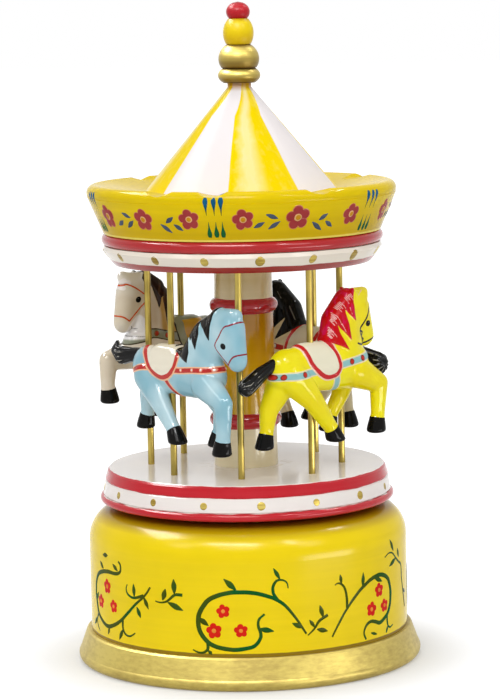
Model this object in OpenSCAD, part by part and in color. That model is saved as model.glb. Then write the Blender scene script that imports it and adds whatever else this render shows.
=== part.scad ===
// Wind-up carousel music box. Turning the platform by hand winds the movement inside the drum,
// and the platform with its horses and canopy turns back while the music plays.
// Millimetres. +Z is up and the origin is the centre of the face that it stands on.

/* [Foot and drum] */
// Radius of the foot where it stands
foot_r = 50; // [49:0.5:60]
// Height of the foot up to its ledge
foot_h = 9.2; // [8:0.1:14]
// Rounding of the foot's lower edge
foot_edge = 2; // [1:0.1:3]
// Width of the ledge outside the drum
ledge_w = 1.4; // [0.8:0.1:2]
// Outer radius of the drum
drum_r = 46.2; // [45:0.2:48]
// Height of the drum above the foot's ledge
drum_h = 36.1; // [34:0.1:46]
// Wall thickness of the drum
drum_wall = 4.9; // [3.5:0.1:5]
// Thickness of the drum's top
drum_top_t = 7.3; // [6:0.1:9]
// Rounding of the drum's shoulder
shoulder_r = 9.5; // [4:0.5:12]
// Height of the lip that centres the drum on the foot
lip_h = 2; // [1:0.1:3]
// Thickness of the bottom cover
cover_t = 3; // [2:0.1:4]
// Width of the ledge that the bottom cover lies on
cover_seat_w = 4.2; // [4:0.1:6]
// How far the bottom cover lies above the resting face
cover_recess = 0.5; // [0.3:0.1:1]

/* [Platform] */
// Gap between the drum and the turning platform
platform_gap = 1.3; // [1:0.1:3]
// Largest radius of the platform
platform_r = 42.7; // [40:0.1:46]
// How much narrower the platform is at its top edge
platform_flare = 2.5; // [1:0.1:4]
// Height of the lower red band
lower_band_h = 2.2; // [1.5:0.1:4]
// Height of the white band
white_band_h = 4.2; // [3:0.1:6]
// Height of the upper red band
upper_band_h = 3.4; // [2:0.1:5]

/* [Column and poles] */
// Height of the column between platform and canopy
column_h = 59.2; // [56:0.1:80]
// Radius of the column at its foot
column_foot_r = 9.3; // [7:0.1:12]
// Radius of the column at its top
column_top_r = 8.3; // [6:0.1:11]
// How far the two red rings stand out of the column
ring_out = 1.4; // [0.8:0.1:2.5]
// Height of each red ring
ring_h = 4.3; // [3:0.1:6]
// Height of the lower ring's middle above the platform
lower_ring_z = 13.4; // [8:0.1:20]
// Height of the upper ring's middle above the platform
upper_ring_z = 46.6; // [35:0.1:52]
// Radius of the column's two tenons
tenon_r = 4.5; // [3:0.1:5]
// Diameter of the poles
pole_d = 1.9; // [1.5:0.1:2.6]
// Radius of the circle of poles
pole_circle_r = 27.8; // [25:0.1:32]
// Depth of the pole sockets
pole_socket = 4; // [2:0.1:5]
// Angle of the first pole at rest
first_pole_angle = -138; // [-180:1:180]

/* [Canopy and roof] */
// Radius of the canopy disc at its red ring
canopy_r = 40.6; // [38:0.1:44]
// Height of the canopy's lower red band
canopy_lower_h = 1.7; // [1:0.1:3]
// Height of the canopy's white band
canopy_white_h = 3.8; // [3:0.1:6]
// Height of the canopy's red ring
canopy_ring_h = 3.5; // [2:0.1:5]
// How much narrower the canopy is at its underside
canopy_taper = 3; // [1:0.1:5]
// Radius of the crown at its foot
crown_foot_r = 40; // [37:0.1:42]
// Radius of the crown at its rim
crown_r = 44.6; // [41:0.1:48]
// Height of the crown
crown_h = 14; // [10:0.1:20]
// Rounding of the crown's rim
rim_round = 2.3; // [1.5:0.1:3]
// Depth of the shallow dish inside the crown
dish_depth = 2.7; // [1:0.1:5]
// Radius of the roof cone at its foot
roof_r = 28; // [24:0.1:34]
// Height of the roof cone up to its neck
roof_h = 29.8; // [22:0.1:45]
// Radius of the neck on the roof cone
neck_r = 3.4; // [3:0.1:5]
// Height of the neck
neck_h = 1.2; // [0.8:0.1:4]

/* [Finial] */
// Diameter of the pin through the finial
finial_pin_d = 2.4; // [1.5:0.1:3]
// How deep the finial pin sits in the roof
pin_socket = 8; // [4:0.5:12]
// Radius of the gilt collar
collar_r = 6.1; // [5:0.1:8]
// Height of the gilt collar
collar_h = 4.3; // [3:0.1:6]
// Radius of the gilt bead
gold_bead_r = 5.85; // [4.5:0.05:8]
// Height of the gilt bead
gold_bead_h = 6.7; // [5:0.1:9]
// Radius of the yellow bead
yellow_bead_r = 4.4; // [3.5:0.1:6]
// Height of the yellow bead
yellow_bead_h = 7.3; // [5:0.1:9]
// Radius of the red bead
red_bead_r = 3.4; // [3:0.1:5]
// Height of the red bead
red_bead_h = 4.8; // [4:0.1:7]

/* [Horses] */
// Length of a horse's body from rump to chest
horse_l = 37; // [30:0.5:40]
// Height of the horses' backs above the platform
horse_back_h = 37; // [35:0.5:45]
// How much higher the white horse hangs
white_horse_lift = 3.8; // [0:0.1:6]

/* [Movement] */
// Thickness of the movement's bedplate
bedplate_t = 2.2; // [1.8:0.1:3]
// Diameter of the winding arbor
arbor_d = 5; // [4:0.1:6]
// Radius of the spring housing
housing_r = 12.4; // [11:0.1:12.4]
// Height of the spring housing
housing_h = 8.8; // [8:0.1:9.6]
// Teeth on the drive wheel
drive_teeth = 30; // [30:30]
// Teeth on the cylinder pinion
pinion_teeth = 12; // [12:12]
// Teeth on the cylinder gear
gear_teeth = 32; // [32:32]
// Teeth on the idler pinion
idler_teeth = 8; // [8:8]
// Teeth on the worm wheel
worm_teeth = 20; // [20:20]
// Tooth module of the drive wheel and its pinion
drive_module = 0.6; // [0.6:0.01:0.62]
// Tooth module of the cylinder gear and the idler pinion
gear_module = 0.55; // [0.5:0.01:0.56]
// Tooth module of the worm wheel
worm_module = 0.3; // [0.28:0.01:0.32]
// Radius of the pinned cylinder
cylinder_r = 6.5; // [6:0.1:6.6]
// Number of notes on the comb
notes = 18; // [12:1:20]
// Width of the slot between two comb teeth
comb_slot = 0.16; // [0.12:0.01:0.25]
// Running clearance round each turning shaft
running = 0.05; // [0.03:0.01:0.08]
// Clearance of a glued or screwed fit
snug = 0.05; // [0.03:0.01:0.1]
// Clearance between parts that pass each other
pass_gap = 0.3; // [0.3:0.05:0.5]

/* [Hidden] */
$fn = 96;
tiny = 0.01;                        // overlap of a cut past the face that it opens

// heights of the stack
drum_top_z = foot_h + drum_h;
platform_z = drum_top_z + platform_gap;
platform_h = lower_band_h + white_band_h + upper_band_h;
platform_top_z = platform_z + platform_h;
canopy_z = platform_top_z + column_h;
canopy_h = canopy_lower_h + canopy_white_h + canopy_ring_h;
crown_z = canopy_z + canopy_h;
dish_z = crown_z + crown_h - dish_depth;
neck_z = dish_z + roof_h;
collar_z = neck_z + neck_h;
gold_bead_z = collar_z + collar_h;
yellow_bead_z = gold_bead_z + gold_bead_h;
red_bead_z = yellow_bead_z + yellow_bead_h;

// drum and foot
drum_in_r = drum_r - drum_wall;
cavity_top_z = drum_top_z - drum_top_t;
lip_r = drum_in_r - snug;
cover_seat_z = cover_recess + cover_t;
cover_r = lip_r - 1.2;
foot_hole_r = cover_r - cover_seat_w;
cover_screw_circle = cover_r - cover_seat_w / 2;
cover_screw_d = 2;
cover_screw_l = 7;

// movement: places below the drum's top
bedplate_z = cavity_top_z - bedplate_t;
housing_z = bedplate_z - housing_h;
housing_wall = 0.7;
arbor_r = arbor_d / 2;
wheel_t = 1.8;
wheel_clear = 0.6;                  // between the spring housing and the drive wheel
wheel_z = housing_z - wheel_clear - wheel_t;
drive_pitch = PI * drive_module;
gear_pitch = PI * gear_module;
worm_pitch = PI * worm_module;
drive_r = drive_module * drive_teeth / 2;
pinion_r = drive_module * pinion_teeth / 2;
addendum = 0.7;                     // tooth height outside the pitch circle, in modules
dedendum = 1.3;                     // tooth height inside the pitch circle, in modules
tooth_share = 0.3;                  // tooth thickness as a share of the pitch
axis_z = wheel_z - dedendum * drive_module - pinion_r;
face_w = 2.4;                       // width of the drive teeth
bearing_t = 1.4;
end_play = 0.6;                     // room at each end of a turning piece
bearing_x = housing_r + 0.4;        // inner face of the first cylinder bearing
barrel_x = bearing_x + bearing_t + end_play;
gear_t = 1.6;
cylinder_arbor_r = 1;
idler_arbor_r = 0.7;
gear_r = gear_module * gear_teeth / 2;
idler_r = gear_module * idler_teeth / 2;
idler_y = -(gear_r + idler_r);
pin_r = 0.2;
pin_out = 0.4;
comb_t = 0.8;
comb_y = cylinder_r + pin_out + pass_gap;
comb_end_y = comb_y + 11.3;
comb_seat_w = 3.8;
seat_screw_y = comb_end_y - comb_seat_w / 2;
bedplate_edge = 0.9;                // room between the bedplate's corners and the drum
bedplate_x0 = -16;
bedplate_x1 = sqrt(pow(drum_in_r - bedplate_edge, 2) - pow(comb_end_y, 2)) - 0.2;
far_bearing_x = bedplate_x1 - bearing_t;
gear_x = far_bearing_x - end_play - gear_t;
cylinder_l = gear_x - end_play - barrel_x;
bracket_t = 1.4;
fan_r = 4.2;
worm_x = far_bearing_x - fan_r - end_play;
bracket_x = worm_x - fan_r - 1 - bracket_t;
worm_wheel_r = worm_module * worm_teeth / 2;
worm_core_r = 1;
worm_throw = 0.3;                   // how far the thread's round section is off the axis
worm_l = 5;
worm_y = idler_y - worm_wheel_r - worm_core_r;
worm_shaft_r = 0.5;
lower_arm_z = axis_z - 8.2;
upper_arm_z = axis_z + 10.8;
arm_t = 1.4;
bedplate_half_y = comb_end_y;

// hub and bush
bush_flange_t = platform_gap - running;
bush_r = arbor_r + 2.5;
bush_flange_r = arbor_r + 4;
hub_flange_r = arbor_r + 7.5;
hub_flange_t = 2;
hub_r = arbor_r + 1.5;
hub_h = platform_h - 4.3;
tenon_l = 3.5;
hub_screw_circle = (hub_r + hub_flange_r) / 2;

// poles
pole_r = pole_d / 2;
pole_count = 8;
pole_z = platform_top_z - pole_socket;
pole_l = column_h + 2 * pole_socket;

// one screw: shank with a head, pointing up from the head's underside
module screw(d, l, head_d, head_t) {
    translate([0, 0, -tiny]) cylinder(d = d, h = l + tiny);
    translate([0, 0, -head_t]) cylinder(d = head_d, h = head_t);
}

module around(count, r, start = 0) {
    for (i = [0:count - 1])
        rotate(start + i * 360 / count) translate([r, 0, 0]) children();
}

// ---- foot and drum ----

module foot_ring() color("gold") {
    ledge_r = drum_r + ledge_w;
    bevel = 0.5;
    difference() {
        rotate_extrude() {
            translate([foot_r - foot_edge, foot_edge]) circle(foot_edge);
            polygon([[foot_hole_r, cover_seat_z], [foot_hole_r, foot_h + lip_h],
                     [lip_r, foot_h + lip_h], [lip_r, foot_h], [ledge_r - bevel, foot_h],
                     [ledge_r, foot_h - bevel], [foot_r, foot_edge], [foot_r - foot_edge, 0],
                     [cover_r + snug, 0], [cover_r + snug, cover_seat_z]]);
        }
        around(4, cover_screw_circle, 45)
            translate([0, 0, cover_seat_z - tiny])
                cylinder(r = cover_screw_d / 2 + snug, h = cover_screw_l - cover_t + 0.5);
    }
}

module bottom_cover() color("burlywood") difference() {
    translate([0, 0, cover_recess]) cylinder(r = cover_r, h = cover_t);
    around(4, cover_screw_circle, 45) cylinder(r = cover_screw_d / 2 + snug, h = foot_h);
    around(4, cover_screw_circle, 45) cylinder(r = cover_screw_d + snug, h = cover_recess + 1);
}

module cover_screws() color("silver")
    around(4, cover_screw_circle, 45)
        translate([0, 0, cover_recess + 1])
            screw(cover_screw_d, cover_screw_l - 1, 2 * cover_screw_d, 0.9);

module movement_screw_places() {
    for (p = [[bedplate_x0 + 4, bedplate_half_y - 4], [bedplate_x0 + 4, 4 - bedplate_half_y],
              [far_bearing_x - 6.2, comb_y + 3.3], [far_bearing_x - 2.7, 2.5 - bedplate_half_y]])
        translate([p[0], p[1], 0]) children();
}

movement_screw_d = 2;
movement_screw_l = 6;

module drum() color("gold") difference() {
    rotate_extrude() {
        translate([drum_r - shoulder_r, drum_top_z - shoulder_r]) circle(shoulder_r);
        polygon([[0, foot_h], [drum_r, foot_h], [drum_r, drum_top_z - shoulder_r],
                 [drum_r - shoulder_r, drum_top_z], [0, drum_top_z]]);
    }
    translate([0, 0, foot_h - tiny])
        cylinder(r = drum_in_r, h = cavity_top_z - foot_h + tiny);
    cylinder(r = bush_r + snug, h = drum_top_z + 1);
    movement_screw_places()
        translate([0, 0, cavity_top_z - tiny])
            cylinder(r = movement_screw_d / 2 + snug, h = movement_screw_l - bedplate_t + 0.5);
}

module arbor_bush() color("goldenrod") difference() {
    union() {
        translate([0, 0, cavity_top_z]) cylinder(r = bush_r, h = drum_top_t);
        translate([0, 0, drum_top_z]) cylinder(r = bush_flange_r, h = bush_flange_t);
    }
    translate([0, 0, cavity_top_z - 1])
        cylinder(r = arbor_r + running, h = drum_top_t + platform_gap + 2);
}

// ---- the movement's fixed parts ----

module comb_seat() {
    translate([barrel_x - 0.4, comb_end_y - comb_seat_w, axis_z + comb_t])
        cube([cylinder_l + 0.8, comb_seat_w, bedplate_z - axis_z - comb_t + tiny]);
}

module bearing(x, y0, y1) {
    below = 3;
    translate([x, y0, axis_z - below])
        cube([bearing_t, y1 - y0, bedplate_z - axis_z + below + tiny]);
}

module comb_screw_places() {
    for (t = [0.2, 0.5, 0.8])
        translate([barrel_x + t * cylinder_l, seat_screw_y, 0]) children();
}

governor_screw_x = bracket_x - 3.6;
governor_screw_y = worm_y + 0.6;
comb_screw_d = 1.6;
comb_screw_l = 5;
bearing_half = 4;

module bedplate() color("lightgray") difference() {
    union() {
        intersection() {
            translate([bedplate_x0, -bedplate_half_y, bedplate_z])
                cube([bedplate_x1 - bedplate_x0, 2 * bedplate_half_y, bedplate_t]);
            translate([0, 0, bedplate_z - 1])
                cylinder(r = drum_in_r - bedplate_edge, h = bedplate_t + 2);
        }
        comb_seat();
        bearing(bearing_x, -bearing_half, bearing_half);
        bearing(far_bearing_x, idler_y - 3, bearing_half);
    }
    translate([0, 0, bedplate_z - 1]) cylinder(r = arbor_r + running, h = bedplate_t + 2);
    translate([bearing_x - 1, 0, axis_z]) rotate([0, 90, 0])
        cylinder(r = cylinder_arbor_r + running, h = bedplate_x1);
    translate([far_bearing_x - 1, idler_y, axis_z]) rotate([0, 90, 0])
        cylinder(r = idler_arbor_r + running, h = bearing_t + 2);
    movement_screw_places()
        translate([0, 0, bedplate_z - 1])
            cylinder(r = movement_screw_d / 2 + snug, h = bedplate_t + 2);
    comb_screw_places()
        translate([0, 0, axis_z]) cylinder(r = comb_screw_d / 2 + snug, h = comb_screw_l + 0.5);
    translate([governor_screw_x, governor_screw_y, bedplate_z - 1])
        cylinder(r = comb_screw_d / 2 + snug, h = bedplate_t + 0.8);
}

module movement_screws() color("silver")
    movement_screw_places()
        translate([0, 0, bedplate_z]) screw(movement_screw_d, movement_screw_l, 4, 1.4);

module spring_housing() color("goldenrod") difference() {
    translate([0, 0, housing_z]) cylinder(r = housing_r, h = housing_h);
    translate([0, 0, housing_z + housing_wall])
        cylinder(r = housing_r - housing_wall, h = housing_h);
    translate([0, 0, housing_z - 1]) cylinder(r = arbor_r + running, h = 3);
}

// a flat strip wound in a spiral from the arbor out to the housing's wall
module mainspring() {
    strip = 0.35;
    turns = 7;
    steps = 24;
    inner_r = arbor_r + pass_gap;
    outer_r = housing_r - housing_wall - strip - 0.15;
    last = turns * steps;
    function spiral(i, out) = let (r = inner_r + (outer_r - inner_r) * i / last + out,
                                   a = i * 360 / steps) [r * cos(a), r * sin(a)];
    color("slategray") translate([0, 0, housing_z + housing_wall + 0.4])
        linear_extrude(housing_h - housing_wall - 1)
            polygon(concat([for (i = [0:last]) spiral(i, 0)],
                           [for (i = [last:-1:0]) spiral(i, strip)]));
}

// the low notes have the long teeth
module comb() color("silver") {
    pitch = cylinder_l / notes;
    longest = 8.6;
    shortest = 5.2;
    difference() {
        translate([barrel_x, comb_y, axis_z]) cube([cylinder_l, comb_end_y - comb_y, comb_t]);
        for (i = [1:notes - 1])
            translate([barrel_x + i * pitch - comb_slot / 2, comb_y - 1, axis_z - 1])
                cube([comb_slot, 1 + longest - (longest - shortest) * i / notes, comb_t + 2]);
        comb_screw_places()
            translate([0, 0, axis_z - 1]) cylinder(r = comb_screw_d / 2 + snug, h = comb_t + 2);
    }
}

module comb_screws() color("goldenrod")
    comb_screw_places()
        translate([0, 0, axis_z]) screw(comb_screw_d, comb_screw_l, 3, 1);

module governor_bracket() color("lightgray") difference() {
    y0 = worm_y - 2.6;
    y1 = idler_y + 2;
    arm_l = worm_x - bracket_x + 1.6;
    foot_l = bracket_x - governor_screw_x + 2.2;
    union() {
        translate([bracket_x, y0, lower_arm_z])
            cube([bracket_t, y1 - y0, bedplate_z - lower_arm_z]);
        translate([bracket_x, y0, lower_arm_z]) cube([arm_l, 5.2, arm_t]);
        translate([bracket_x, y0, upper_arm_z]) cube([arm_l, 5.2, arm_t]);
        translate([bracket_x - foot_l, y0, bedplate_z - bracket_t])
            cube([foot_l + tiny, y1 - y0, bracket_t]);
    }
    translate([bracket_x - 1, idler_y, axis_z]) rotate([0, 90, 0])
        cylinder(r = idler_arbor_r + running, h = bracket_t + 2);
    translate([worm_x, worm_y, lower_arm_z - 1])
        cylinder(r = worm_shaft_r + running, h = bedplate_z - lower_arm_z);
    translate([governor_screw_x, governor_screw_y, bedplate_z - bracket_t - 1])
        cylinder(r = comb_screw_d / 2 + snug, h = bracket_t + 2);
}

module governor_screw() color("silver")
    translate([governor_screw_x, governor_screw_y, bedplate_z - bracket_t])
        screw(comb_screw_d, bracket_t + bedplate_t - 0.8, 3, 1);

// ---- gears ----

// outline of a gear with straight-sided teeth and room for backlash
module gear_outline(teeth, module_size) {
    r = teeth * module_size / 2;
    tip_r = r + addendum * module_size;
    root_r = r - dedendum * module_size;
    half = 180 / teeth * tooth_share;   // half a tooth at the pitch circle, in degrees
    function at(rad, a) = [rad * cos(a), rad * sin(a)];
    polygon([for (i = [0:teeth - 1], k = [0:3])
        let (a = i * 360 / teeth, wide = 1.3 * half, narrow = 0.65 * half)
        k == 0 ? at(root_r, a - wide) : k == 1 ? at(tip_r, a - narrow) :
        k == 2 ? at(tip_r, a + narrow) : at(root_r, a + wide)]);
}

module winding_arbor() color("silver")
    translate([0, 0, wheel_z - 0.7])
        cylinder(r = arbor_r, h = platform_z + hub_h - wheel_z + 0.5);

// face-toothed wheel: its teeth point down into the pinion
module drive_wheel() color("goldenrod") difference() {
    tooth_h = (addendum + dedendum) * drive_module;
    root = 1.3 * tooth_share * drive_pitch / 2;
    tip = 0.65 * tooth_share * drive_pitch / 2;
    union() {
        translate([0, 0, wheel_z]) cylinder(r = drive_r + face_w / 2, h = wheel_t);
        translate([0, 0, wheel_z - 0.7]) cylinder(r = arbor_r + 1.5, h = 0.7 + tiny);
        for (i = [0:drive_teeth - 1])
            rotate(i * 360 / drive_teeth)
                translate([drive_r - face_w / 2, 0, wheel_z]) rotate([90, 0, 90])
                    linear_extrude(face_w - 0.1)
                        polygon([[-root, tiny], [-tip, -tooth_h], [tip, -tooth_h], [root, tiny]]);
    }
    translate([0, 0, wheel_z - 1]) cylinder(r = arbor_r + snug, h = wheel_t + 2);
}

// a solid of revolution's frame: +Z of the child points along the shaft, towards +X
module along_x(x, y) translate([x, y, axis_z]) rotate([0, 90, 0]) children();

module cylinder_pinion() color("goldenrod") difference() {
    along_x(drive_r - face_w / 2, 0) rotate(180 / pinion_teeth)
        linear_extrude(face_w) gear_outline(pinion_teeth, drive_module);
    along_x(0, 0) cylinder(r = cylinder_arbor_r + snug, h = 2 * drive_r);
}

module cylinder_gear() color("goldenrod") difference() {
    along_x(gear_x, 0) linear_extrude(gear_t) gear_outline(gear_teeth, gear_module);
    along_x(gear_x - 1, 0) cylinder(r = cylinder_arbor_r + snug, h = gear_t + 2);
}

module cylinder_arbor() color("silver") {
    start = drive_r - face_w / 2 - 0.8;
    along_x(start, 0) cylinder(r = cylinder_arbor_r, h = bedplate_x1 + 0.6 - start);
}

// brass barrel with rows of pins, one row for each note
module pinned_cylinder() color("goldenrod") difference() {
    pins_in_row = 5;
    union() {
        along_x(barrel_x, 0) cylinder(r = cylinder_r, h = cylinder_l);
        for (i = [0:notes - 1], j = [0:pins_in_row - 1])
            along_x(barrel_x + (i + 0.5) * cylinder_l / notes, 0)
                rotate(i * 137 + j * 360 / pins_in_row + (i * j % 4) * 11)
                    rotate([0, 90, 0])
                        translate([0, 0, cylinder_r - 0.5])
                            cylinder(r = pin_r, h = 0.5 + pin_out, $fn = 6);
    }
    along_x(barrel_x - 1, 0) cylinder(r = cylinder_arbor_r + snug, h = cylinder_l + 2);
}

module idler_pinion() color("silver") difference() {
    along_x(gear_x, idler_y) rotate(180 / idler_teeth)
        linear_extrude(gear_t) gear_outline(idler_teeth, gear_module);
    along_x(gear_x - 1, idler_y) cylinder(r = idler_arbor_r + snug, h = gear_t + 2);
}

module idler_arbor() color("silver")
    along_x(bracket_x, idler_y) cylinder(r = idler_arbor_r, h = bedplate_x1 - bracket_x);

module worm_wheel() color("goldenrod") difference() {
    wide = 1.1;
    along_x(worm_x - wide / 2, idler_y)
        linear_extrude(wide) gear_outline(worm_teeth, worm_module);
    along_x(worm_x - 1, idler_y) cylinder(r = idler_arbor_r + snug, h = 2);
}

// a round section off the axis, twisted as it rises, makes the thread
module worm_shaft() color("silver") translate([worm_x, worm_y, 0]) {
    turns = worm_l / worm_pitch;
    translate([0, 0, lower_arm_z + 0.3])
        cylinder(r = worm_shaft_r, h = upper_arm_z + arm_t - lower_arm_z - 0.6);
    translate([0, 0, axis_z - worm_l / 2])
        linear_extrude(worm_l, twist = -360 * turns, slices = ceil(turns * 12), $fn = 14)
            rotate(-180 * turns - 90) translate([worm_throw, 0]) circle(worm_core_r);
}

module governor_fan() color("goldenrod") difference() {
    blade_h = 5;
    blade_t = 0.4;
    fan_z = upper_arm_z - 1.2 - blade_h;
    translate([worm_x, worm_y, fan_z]) union() {
        cylinder(r = worm_shaft_r + 0.7, h = blade_h);
        translate([-fan_r, -blade_t / 2, 0]) cube([2 * fan_r, blade_t, blade_h]);
    }
    translate([worm_x, worm_y, fan_z - 1])
        cylinder(r = worm_shaft_r + snug, h = blade_h + 2);
}

// ---- platform ----

module hub_screw_places() around(3, hub_screw_circle, 30) children();

module platform_hub() color("goldenrod") difference() {
    translate([0, 0, platform_z]) union() {
        cylinder(r = hub_flange_r, h = hub_flange_t);
        cylinder(r = hub_r, h = hub_h);
    }
    translate([0, 0, platform_z - 1]) cylinder(r = arbor_r + snug, h = hub_h + 2);
    hub_screw_places()
        translate([0, 0, platform_z - 1]) cylinder(r = 0.8 + snug, h = hub_flange_t + 2);
    hub_screw_places()
        translate([0, 0, platform_z - 1]) cylinder(r = 1.5 + snug, h = 2);
}

module hub_screws() color("silver")
    hub_screw_places() translate([0, 0, platform_z + 1]) screw(1.6, hub_h - 2, 3, 0.9);

module pole_holes(z) around(pole_count, pole_circle_r, first_pole_angle)
    translate([0, 0, z]) cylinder(r = pole_r + snug, h = pole_socket + tiny);

module platform() color("white") difference() {
    groove = 0.35;
    nose = lower_band_h / 2;
    top_r = platform_r - platform_flare;
    lower_r = platform_r - nose;
    z1 = platform_z + lower_band_h;
    z2 = z1 + white_band_h;
    white_low_r = platform_r - 0.9;
    white_high_r = platform_r - 1.5;
    rotate_extrude() {
        translate([lower_r, platform_z + nose]) circle(nose);
        polygon([[0, platform_z], [lower_r, platform_z], [lower_r, z1],
                 [white_low_r - groove, z1], [white_low_r, z1 + groove],
                 [white_high_r, z2 - groove], [white_high_r - groove, z2],
                 [white_high_r - 0.1, z2 + groove], [top_r + 0.2, platform_top_z - 0.7],
                 [top_r - 0.5, platform_top_z], [0, platform_top_z]]);
    }
    translate([0, 0, platform_z - 1]) cylinder(r = hub_flange_r + snug, h = hub_flange_t + 1);
    translate([0, 0, platform_z - 1]) cylinder(r = hub_r + snug, h = hub_h + 1);
    hub_screw_places()
        translate([0, 0, platform_z]) cylinder(r = 0.8 + snug, h = hub_h - 0.5);
    translate([0, 0, platform_top_z - tenon_l])
        cylinder(r = tenon_r + snug, h = tenon_l + 1);
    pole_holes(pole_z);
}

// turned column: a tenon into the platform below and a long one through canopy and crown
module column() {
    roof_socket = 4;
    function column_r(h) = column_foot_r + (column_top_r - column_foot_r) * h / column_h;
    module ring(h) {
        translate([0, 0, platform_top_z + h]) rotate_extrude() {
            translate([column_r(h) + ring_out - ring_h / 2, 0]) circle(ring_h / 2);
            translate([0, -ring_h / 2]) square([column_r(h) + ring_out - ring_h / 2, ring_h]);
        }
    }
    color("lemonchiffon") {
        translate([0, 0, platform_top_z - tenon_l + 0.2])
            cylinder(r = tenon_r, h = tenon_l);
        translate([0, 0, platform_top_z])
            cylinder(r1 = column_foot_r, r2 = column_top_r, h = column_h);
        ring(lower_ring_z);
        ring(upper_ring_z);
        translate([0, 0, canopy_z - tiny])
            cylinder(r = tenon_r, h = dish_z + roof_socket - canopy_z);
    }
}

module pole(i) color("darkgoldenrod")
    rotate(first_pole_angle + (i - 1) * 360 / pole_count)
        translate([pole_circle_r, 0, pole_z + 0.1]) cylinder(r = pole_r, h = pole_l - 0.2);

// ---- canopy, crown, roof ----

module canopy_disc() color("white") difference() {
    nose = canopy_ring_h / 2;
    z1 = canopy_z + canopy_lower_h;
    z2 = z1 + canopy_white_h;
    low_r = canopy_r - canopy_taper;
    white_r = canopy_r - 0.3;
    rotate_extrude() {
        translate([canopy_r - nose, crown_z - nose]) circle(nose);
        polygon([[0, canopy_z], [low_r - 0.6, canopy_z], [low_r, canopy_z + 0.6],
                 [low_r + 0.9, z1], [white_r - 0.6, z1 + 0.45 * canopy_white_h],
                 [white_r, z1 + 0.7 * canopy_white_h], [white_r - 0.4, z2],
                 [canopy_r - nose, z2], [canopy_r - nose, crown_z], [0, crown_z]]);
    }
    translate([0, 0, canopy_z - 1]) cylinder(r = tenon_r + snug, h = canopy_h + 2);
    pole_holes(canopy_z - tiny);
}

// shallow carved notches in the crown's rim, at uneven hand-cut angles
rim_notches = [-122, -101, -60, 32, 88, 135];

module crown() color("gold") difference() {
    rim_top_z = crown_z + crown_h;
    rotate_extrude() {
        translate([crown_r - rim_round, rim_top_z - rim_round]) circle(rim_round);
        polygon([[0, crown_z], [crown_foot_r, crown_z], [crown_r - 0.1, rim_top_z - 0.8 * crown_h * 0.3],
                 [crown_r - rim_round, rim_top_z - rim_round], [crown_r - rim_round, rim_top_z],
                 [roof_r + 1, dish_z], [0, dish_z]]);
    }
    translate([0, 0, crown_z - 1]) cylinder(r = tenon_r + snug, h = crown_h + 2);
    for (a = rim_notches)
        rotate(a) translate([roof_r + 4, 0, rim_top_z + 5.2]) rotate([0, 90, 0])
            cylinder(r = 6.6, h = crown_r);
}

module roof_cone() color("white") difference() {
    sweep = 0.6;
    rotate_extrude()
        polygon([[0, dish_z], [roof_r, dish_z], [neck_r + sweep, neck_z - 0.7], [neck_r, neck_z],
                 [neck_r, collar_z], [0, collar_z]]);
    translate([0, 0, dish_z - 1]) cylinder(r = tenon_r + snug, h = 5.2);
    translate([0, 0, collar_z - pin_socket])
        cylinder(r = finial_pin_d / 2 + snug, h = pin_socket + 1);
}

module finial_pin() color("tan")
    translate([0, 0, collar_z - pin_socket + 0.2])
        cylinder(d = finial_pin_d, h = red_bead_z + red_bead_h / 2 - collar_z + pin_socket - 0.4);

// a bead is an ellipsoid cut flat below and above its widest height
module bead(r, z, h, widest, half_h, bore) {
    steps = 18;
    function rim(t) = let (k = (t * h - widest) / half_h) r * sqrt(max(0, 1 - k * k));
    difference() {
        translate([0, 0, z]) rotate_extrude()
            polygon(concat([[0, 0]], [for (i = [0:steps]) [rim(i / steps), i / steps * h]],
                           [[0, h]]));
        translate([0, 0, z - 1]) cylinder(r = finial_pin_d / 2 + snug, h = bore + 1);
    }
}

module finial_collar() color("goldenrod")
    bead(collar_r, collar_z, collar_h, collar_h / 2, 0.74 * collar_h, collar_h + 1);

module finial_gold_bead() color("goldenrod")
    bead(gold_bead_r, gold_bead_z, gold_bead_h, 0.38 * gold_bead_h, 0.75 * gold_bead_h,
         gold_bead_h + 1);

module finial_yellow_bead() color("yellow")
    bead(yellow_bead_r, yellow_bead_z, yellow_bead_h, 0.44 * yellow_bead_h,
         0.73 * yellow_bead_h, yellow_bead_h + 1);

module finial_red_bead() color("crimson")
    bead(red_bead_r, red_bead_z, red_bead_h, 0.4 * red_bead_h, 0.601 * red_bead_h,
         red_bead_h / 2);

// ---- horses ----
// A horse is carved from a board. Its points are [forward, outward, up, radius], with the pole
// at 0, 0 and the middle of the barrel at height 0, for a body 37 mm long.

rump = [-9.5, 0, 0.3, 6.2];
ribs = [5, 0, -0.2, 6.8];
chest = [15, 0, -0.3, 6.9];
outer_hind = [[-8, 1.6, -2, 5], [-2.6, 3, -8.6, 3.3], [3.2, 3.2, -16.4, 2.2], [5.2, 3.2, -19.6, 2.7]];
inner_hind = [[-9.6, -1.6, -3, 4.6], [-13.2, -3, -10, 2.9], [-13.6, -3.2, -15.6, 2.1],
              [-14.4, -3.2, -18.8, 2.6]];
outer_fore = [[16.4, 1.6, -2.4, 4.8], [24.4, 3, -6.2, 2.9], [23.8, 3.2, -15, 2.2],
              [23.2, 3.2, -18.6, 2.7]];
inner_fore = [[14.6, -1.6, -3.4, 4.4], [16.2, -3, -10, 2.7], [13.6, -3.2, -16.2, 2.1],
              [12.6, -3.2, -19.2, 2.6]];
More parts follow.
